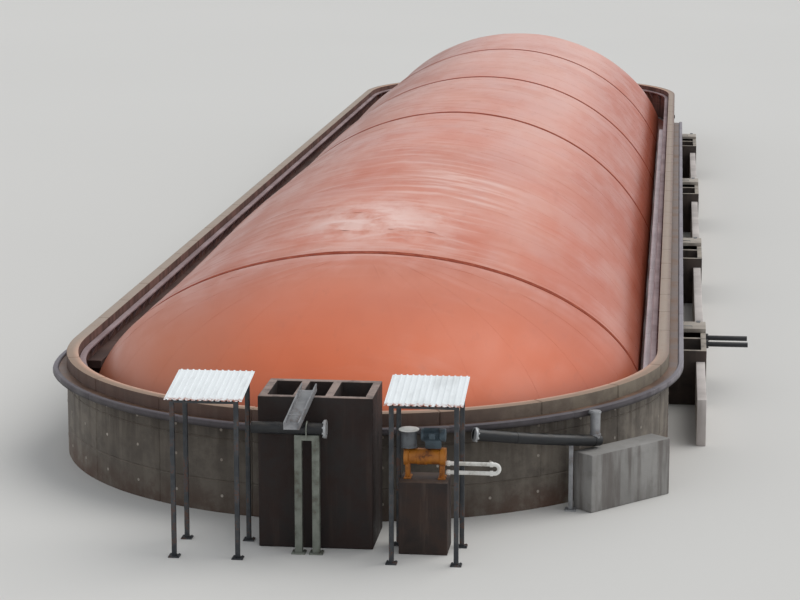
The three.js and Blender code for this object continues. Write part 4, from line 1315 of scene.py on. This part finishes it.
def ribbed_outline(low, high):
    """Low ribs across the sheet's width, as (x, height under the ribs' tops) pairs."""
    count = round((high.x - low.x) / RIB_PITCH)
    pitch = (high.x - low.x) / count
    outline = []
    for i in range(count):
        x = low.x + i * pitch
        foot, crest = x + pitch * 0.3, x + pitch * 0.38
        outline += [(x, -RIB_HEIGHT), (foot, -RIB_HEIGHT), (crest, 0.0), (crest + RIB_TOP, 0.0)]
        outline.append((crest + RIB_TOP + pitch * 0.08, -RIB_HEIGHT))
    outline.append((high.x, -RIB_HEIGHT))
    return outline + [(x, z - SHEET_STEEL) for x, z in reversed(outline)]


def shelter_roof(side):
    low, high, mid = span(f"shelter_{side}_roof")

    def top(y):
        return high.z - (high.y - y) * SHELTER_SLOPE

    form, outline = Form(), ribbed_outline(low, high)
    form.loft([[(x, y, top(y) + z) for x, z in outline] for y in np.linspace(low.y, high.y, 9)])
    make(f"shelter_{side}_sheet", form, WHITE_SHEET, replaced=[f"shelter_{side}_roof"], crease=20)
    purlins = Form()
    hang = -RIB_HEIGHT - SHEET_STEEL - HAIR
    for y in (low.y + PURLIN_INSETS[0], mid.y, high.y - PURLIN_INSETS[1]):
        back = y + PURLIN_WIDTH
        bar = [(y, top(y) + hang), (back, top(back) + hang)]
        bar += [(back, top(back) - PURLIN_DROP), (y, top(y) - PURLIN_DROP)]
        purlins.loft([[(x, py, pz) for py, pz in bar] for x in (low.x + PURLIN_SHORT, high.x - PURLIN_SHORT)])
    make(f"shelter_{side}_purlins", purlins, DARK_STEEL)


def shelter_frame(side):
    node = f"shelter_{side}_frame"
    refined(node, "welded", DARK_STEEL, STEEL_EDGE)
    low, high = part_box(node)
    half = SHELTER_POST / 2
    form = Form()
    for x in (low.x + half, high.x - half):
        for y in (low.y + half, high.y - half):
            form.base_plate(x, y, SHELTER_PLATE)
    make(f"{node}_base_plates", form, DARK_STEEL)


for side_name in ("left", "right"):
    shelter_roof(side_name)
    shelter_frame(side_name)


# Pump, motor, round cover and the white bend
PUMP_RADIUS = m(0.2)
PUMP_BARREL = [
    (0, 1), (0.1, 1), (0.12, 0.84), (0.3, 0.84), (0.32, 0.9),
    (0.55, 0.9), (0.57, 0.84), (0.86, 0.84), (0.88, 1), (1, 1),
]
PUMP_FOOT = m(0.16)
PUMP_BOLT, PUMP_FOOT_BOLT = m(0.035), m(0.04)
PUMP_PLUG = [(0, m(0.05)), (m(0.03), m(0.05)), (m(0.035), m(0.03))]
FOOT_PLATE = m(0.03)
LEG_INSET = m(0.03)
MOTOR_RADIUS = m(0.15)
MOTOR_FINS = 28
FIN_ROOT = 0.86
MOTOR_FOOT = m(0.1)
MOTOR_BOX = m(0.05)
COVER_RISE = m(0.05)
DRUM_RADIUS = m(0.18)
DRUM_HOOPS = [(0, 0.96), (0.02, 1.0), (0.1, 1.0), (0.12, 0.95), (0.84, 0.95), (0.86, 1.0), (0.99, 1.0)]
BEND_RADIUS = m(0.045)
BEND_STRAIGHT = m(0.3)
SOCKET_LENGTH, SOCKET_EDGE = m(0.07), m(0.01)
SOCKET_FROM_START, SOCKET_FROM_BEND = m(0.02), m(0.1)


def pump_body():
    low, high, mid = span("pump_body")
    y, z, radius, length = mid.y, high.z - PUMP_RADIUS, PUMP_RADIUS, high.x - low.x
    form = Form()
    form.turned((low.x, y, z), X_AXIS, scaled(PUMP_BARREL, length, radius), 36)
    for share, way in ((0.1, 1), (0.88, -1)):
        form.bolt_ring((low.x + length * share, y, z), (way, 0, 0), radius * 0.92, 10, PUMP_BOLT)
    half, seat = PUMP_FOOT, low.z + FOOT_PLATE
    for x in (low.x, high.x - PUMP_FOOT):
        form.block((x, y - half, low.z), (x + PUMP_FOOT, y + half, seat), 0.002)
        leg = (x + PUMP_FOOT - LEG_INSET, y + half * 0.7, z)
        form.block((x + LEG_INSET, y - half * 0.7, seat - m(0.01)), leg, 0.002)
        for way in (-1, 1):
            form.bolt((x + PUMP_FOOT / 2, y + way * half * 0.82, seat), Z_AXIS, PUMP_FOOT_BOLT)
    form.turned((low.x + length * 0.45, y - radius * 0.82, z), (0, -1, 0), PUMP_PLUG, 6)
    make("pump_body_casting", form, PUMP_PAINT, replaced=["pump_body"])


def motor_fins(form, start, length):
    """The finned middle of the motor: each fin is one step of the outline."""
    steps = MOTOR_FINS * 4
    rings = []
    for along in (0.12, 0.72):
        ring = []
        for k in range(steps):
            turn = 2 * pi * k / steps
            radius = MOTOR_RADIUS * (1.0 if k % 4 in (0, 1) else FIN_ROOT)
            ring.append(start + Vector((length * along, radius * cos(turn), radius * sin(turn))))
        rings.append(ring)
    form.loft(rings)


def pump_motor():
    low, high, mid = span("pump_motor")
    start, length, radius = Vector((low.x, mid.y, high.z - MOTOR_RADIUS)), high.x - low.x, MOTOR_RADIUS
    form = Form()
    motor_fins(form, start, length)
    for first, last, share in ((0.0, 0.13, 0.95), (0.71, 1.0, 0.98)):
        reach, outer = length * (last - first), radius * share
        shell = [(0, outer * 0.8), (reach * 0.2, outer), (reach * 0.9, outer), (reach, outer * 0.86)]
        form.turned((low.x + length * first, start.y, start.z), X_AXIS, shell, 32)
    y, z, foot = start.y, start.z, MOTOR_FOOT
    form.block((low.x + foot, y - foot, low.z), (high.x - foot, y + foot, z - radius * 0.6), 0.002)
    box_low = (low.x + length * 0.35, y - radius - MOTOR_BOX, z - MOTOR_BOX)
    form.block(box_low, (low.x + length * 0.6, y - radius * 0.8, z + m(0.06)), 0.003)
    make("pump_motor_housing", form, MOTOR_PAINT, replaced=["pump_motor"])


def pump_cover():
    low, high, mid = span("pump_cover")
    radius = (high.x - low.x) / 2
    base = high.z - COVER_RISE
    form = Form()
    form.turned((mid.x, mid.y, low.z), Z_AXIS, scaled(DRUM_HOOPS, base - low.z, DRUM_RADIUS), 36)
    make("pump_drum", form, DRUM_PAINT)
    form = Form()
    rim = [(0.0, radius * 0.9), (0.0, radius), (m(0.02), radius), (m(0.028), radius * 0.96)]
    dome = [(COVER_RISE * 0.9, radius * 0.55), (COVER_RISE, radius * 0.2)]
    form.turned((mid.x, mid.y, base), Z_AXIS, rim + dome, 40)
    make("pump_cover_cap", form, WHITE_PLASTIC, replaced=["pump_cover"])


def bend_pipe():
    """Two level runs joined by a half circle, with a socket at each joint."""
    low, high, mid = span("pump_bend_pipe")
    radius, y = BEND_RADIUS, mid.y
    top, bottom = high.z - radius, low.z + radius
    bend = (top - bottom) / 2
    reach, near = high.x - radius - bend, low.x + BEND_STRAIGHT
    turns = np.linspace(0, pi, 19)
    arc = [(reach + bend * sin(a), y, (top + bottom) / 2 + bend * cos(a)) for a in turns]
    form = Form()
    form.tube([(low.x, y, top), (near, y, top), *arc, (near, y, bottom), (low.x, y, bottom)], radius, 18)
    lip, ring, length, edge = radius * 1.25, radius * 1.32, SOCKET_LENGTH, SOCKET_EDGE
    socket = [(0, lip), (edge, ring), (length - edge, ring), (length, lip)]
    for x in (low.x + SOCKET_FROM_START, reach - SOCKET_FROM_BEND):
        for z in (top, bottom):
            form.turned((x, y, z), X_AXIS, socket, 20)
    make("pump_bend_pipe_line", form, WHITE_PLASTIC, replaced=["pump_bend_pipe"])


refined("pump_plinth", "cast", PLINTH, CAST_EDGE)
pump_body()
pump_motor()
pump_cover()
bend_pipe()


# Gas pipe round the front right of the rim, its riser and its post
GAS_ARC = GUTTER_OUT + WALL_MID + m(0.17)
GAS_FROM, GAS_TO = radians(-66), radians(-42.1)
GAS_START_Z, GAS_END_Z = WALL_TOP - m(0.44), WALL_TOP - m(0.99)
GAS_STEPS = 24
GAS_COLLAR = m(0.05)
GAS_FLANGE = m(0.16)
POST_SHARE = 0.745
POST_PLATE = m(0.26)
RISER_RADIUS = m(0.115)
RISER_BACK = m(0.13)
COLLAR_TALL, COLLAR_STRAIGHT = m(0.034), m(0.03)


def gas_point(share):
    angle = GAS_FROM + (GAS_TO - GAS_FROM) * share
    z = GAS_START_Z + (GAS_END_Z - GAS_START_Z) * share
    return Vector((GAS_ARC * cos(angle), GAS_ARC * sin(angle) - STRAIGHT_END, z))


def gas_pipe():
    form = Form()
    form.tube([gas_point(i / GAS_STEPS) for i in range(GAS_STEPS + 1)], PIPE_RADIUS, 28)
    for share in (0.3, 0.94):
        here, there = gas_point(share), gas_point(share + 0.018)
        form.turned(here, there - here, [(0, PIPE_RADIUS * 1.05), (GAS_COLLAR, PIPE_RADIUS * 1.05)], 28)
    make("gas_pipe_line", form, PIPE, replaced=["gas_pipe"])
    bolted_flange("gas_pipe_flange", gas_point(0), gas_point(0) - gas_point(0.02), GAS_FLANGE)


def gas_riser():
    refined("gas_riser", "body", GALVANISED, RISER_EDGE)
    along = Vector((-sin(GAS_TO), cos(GAS_TO), 0))
    centre, rim, tall = gas_point(1) - along * RISER_BACK, RISER_RADIUS * 1.16, COLLAR_TALL
    collar = [(0, rim), (COLLAR_STRAIGHT, rim), (tall, RISER_RADIUS * 1.1)]
    form = Form()
    for z in (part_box("gas_riser")[1].z - m(0.02), gas_point(1).z + PIPE_RADIUS + GAS_COLLAR):
        form.turned((centre.x, centre.y, z - tall), Z_AXIS, collar, 28)
    make("gas_riser_flanges", form, GALVANISED)


def gas_post():
    refined("gas_pipe_post", "tube", GALVANISED, POST_EDGE)
    post = gas_point(POST_SHARE)
    form = Form()
    form.base_plate(post.x, post.y, POST_PLATE)
    make("gas_pipe_post_fittings", form, GALVANISED)


gas_pipe()
gas_riser()
gas_post()
refined("corner_block", "cast", BLOCK, BLOCK_EDGE)

NODES["tank_floor"].data.materials.clear()
NODES["tank_floor"].data.materials.append(WALL)


# Studio: a plain pale floor, a soft dome and one broad soft light
FLOOR_HALF = 1500.0
LIGHT_WAY = Vector((-0.6, -0.3, -1.0))


def studio_floor():
    corners = [(-1, -1), (1, -1), (1, 1), (-1, 1)]
    mesh = bpy.data.meshes.new("studio_floor")
    mesh.from_pydata([(x * FLOOR_HALF, y * FLOOR_HALF, 0) for x, y in corners], [], [(0, 1, 2, 3)])
    mesh.materials.append(floor_finish())
    floor = place("studio_floor", mesh)
    floor.location.z = -SKIN
    floor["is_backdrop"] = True


def studio_light():
    world = bpy.data.worlds.new("soft_dome")
    bpy.context.scene.world = world
    world.use_nodes = True
    tree = world.node_tree
    height = shader_node(tree, "SeparateXYZ", shader_node(tree, "TexCoord").outputs["Generated"]).outputs[2]
    dome = tree.nodes["Background"].inputs
    feed(tree, dome["Strength"], shader_node(tree, "MapRange", height, 0.0, 0.9, 0.95, 0.55).outputs[0])
    feed(tree, dome["Color"], (0.93, 0.96, 1.0, 1.0))
    sun = bpy.data.lights.new("broad_light", "SUN")
    sun.energy = 1.3
    sun.angle = radians(50)
    sun.color = (1.0, 0.97, 0.93)
    lamp = place("broad_light", sun)
    lamp.rotation_mode = "QUATERNION"
    lamp.rotation_quaternion = LIGHT_WAY.to_track_quat("-Z", "Y")


studio_floor()
studio_light()
bpy.context.scene.view_settings.view_transform = "Standard"

boxes = {"cad": CAD_BOX, "visual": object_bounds()}
{name: [list(corner) for corner in corners] for name, corners in boxes.items()}
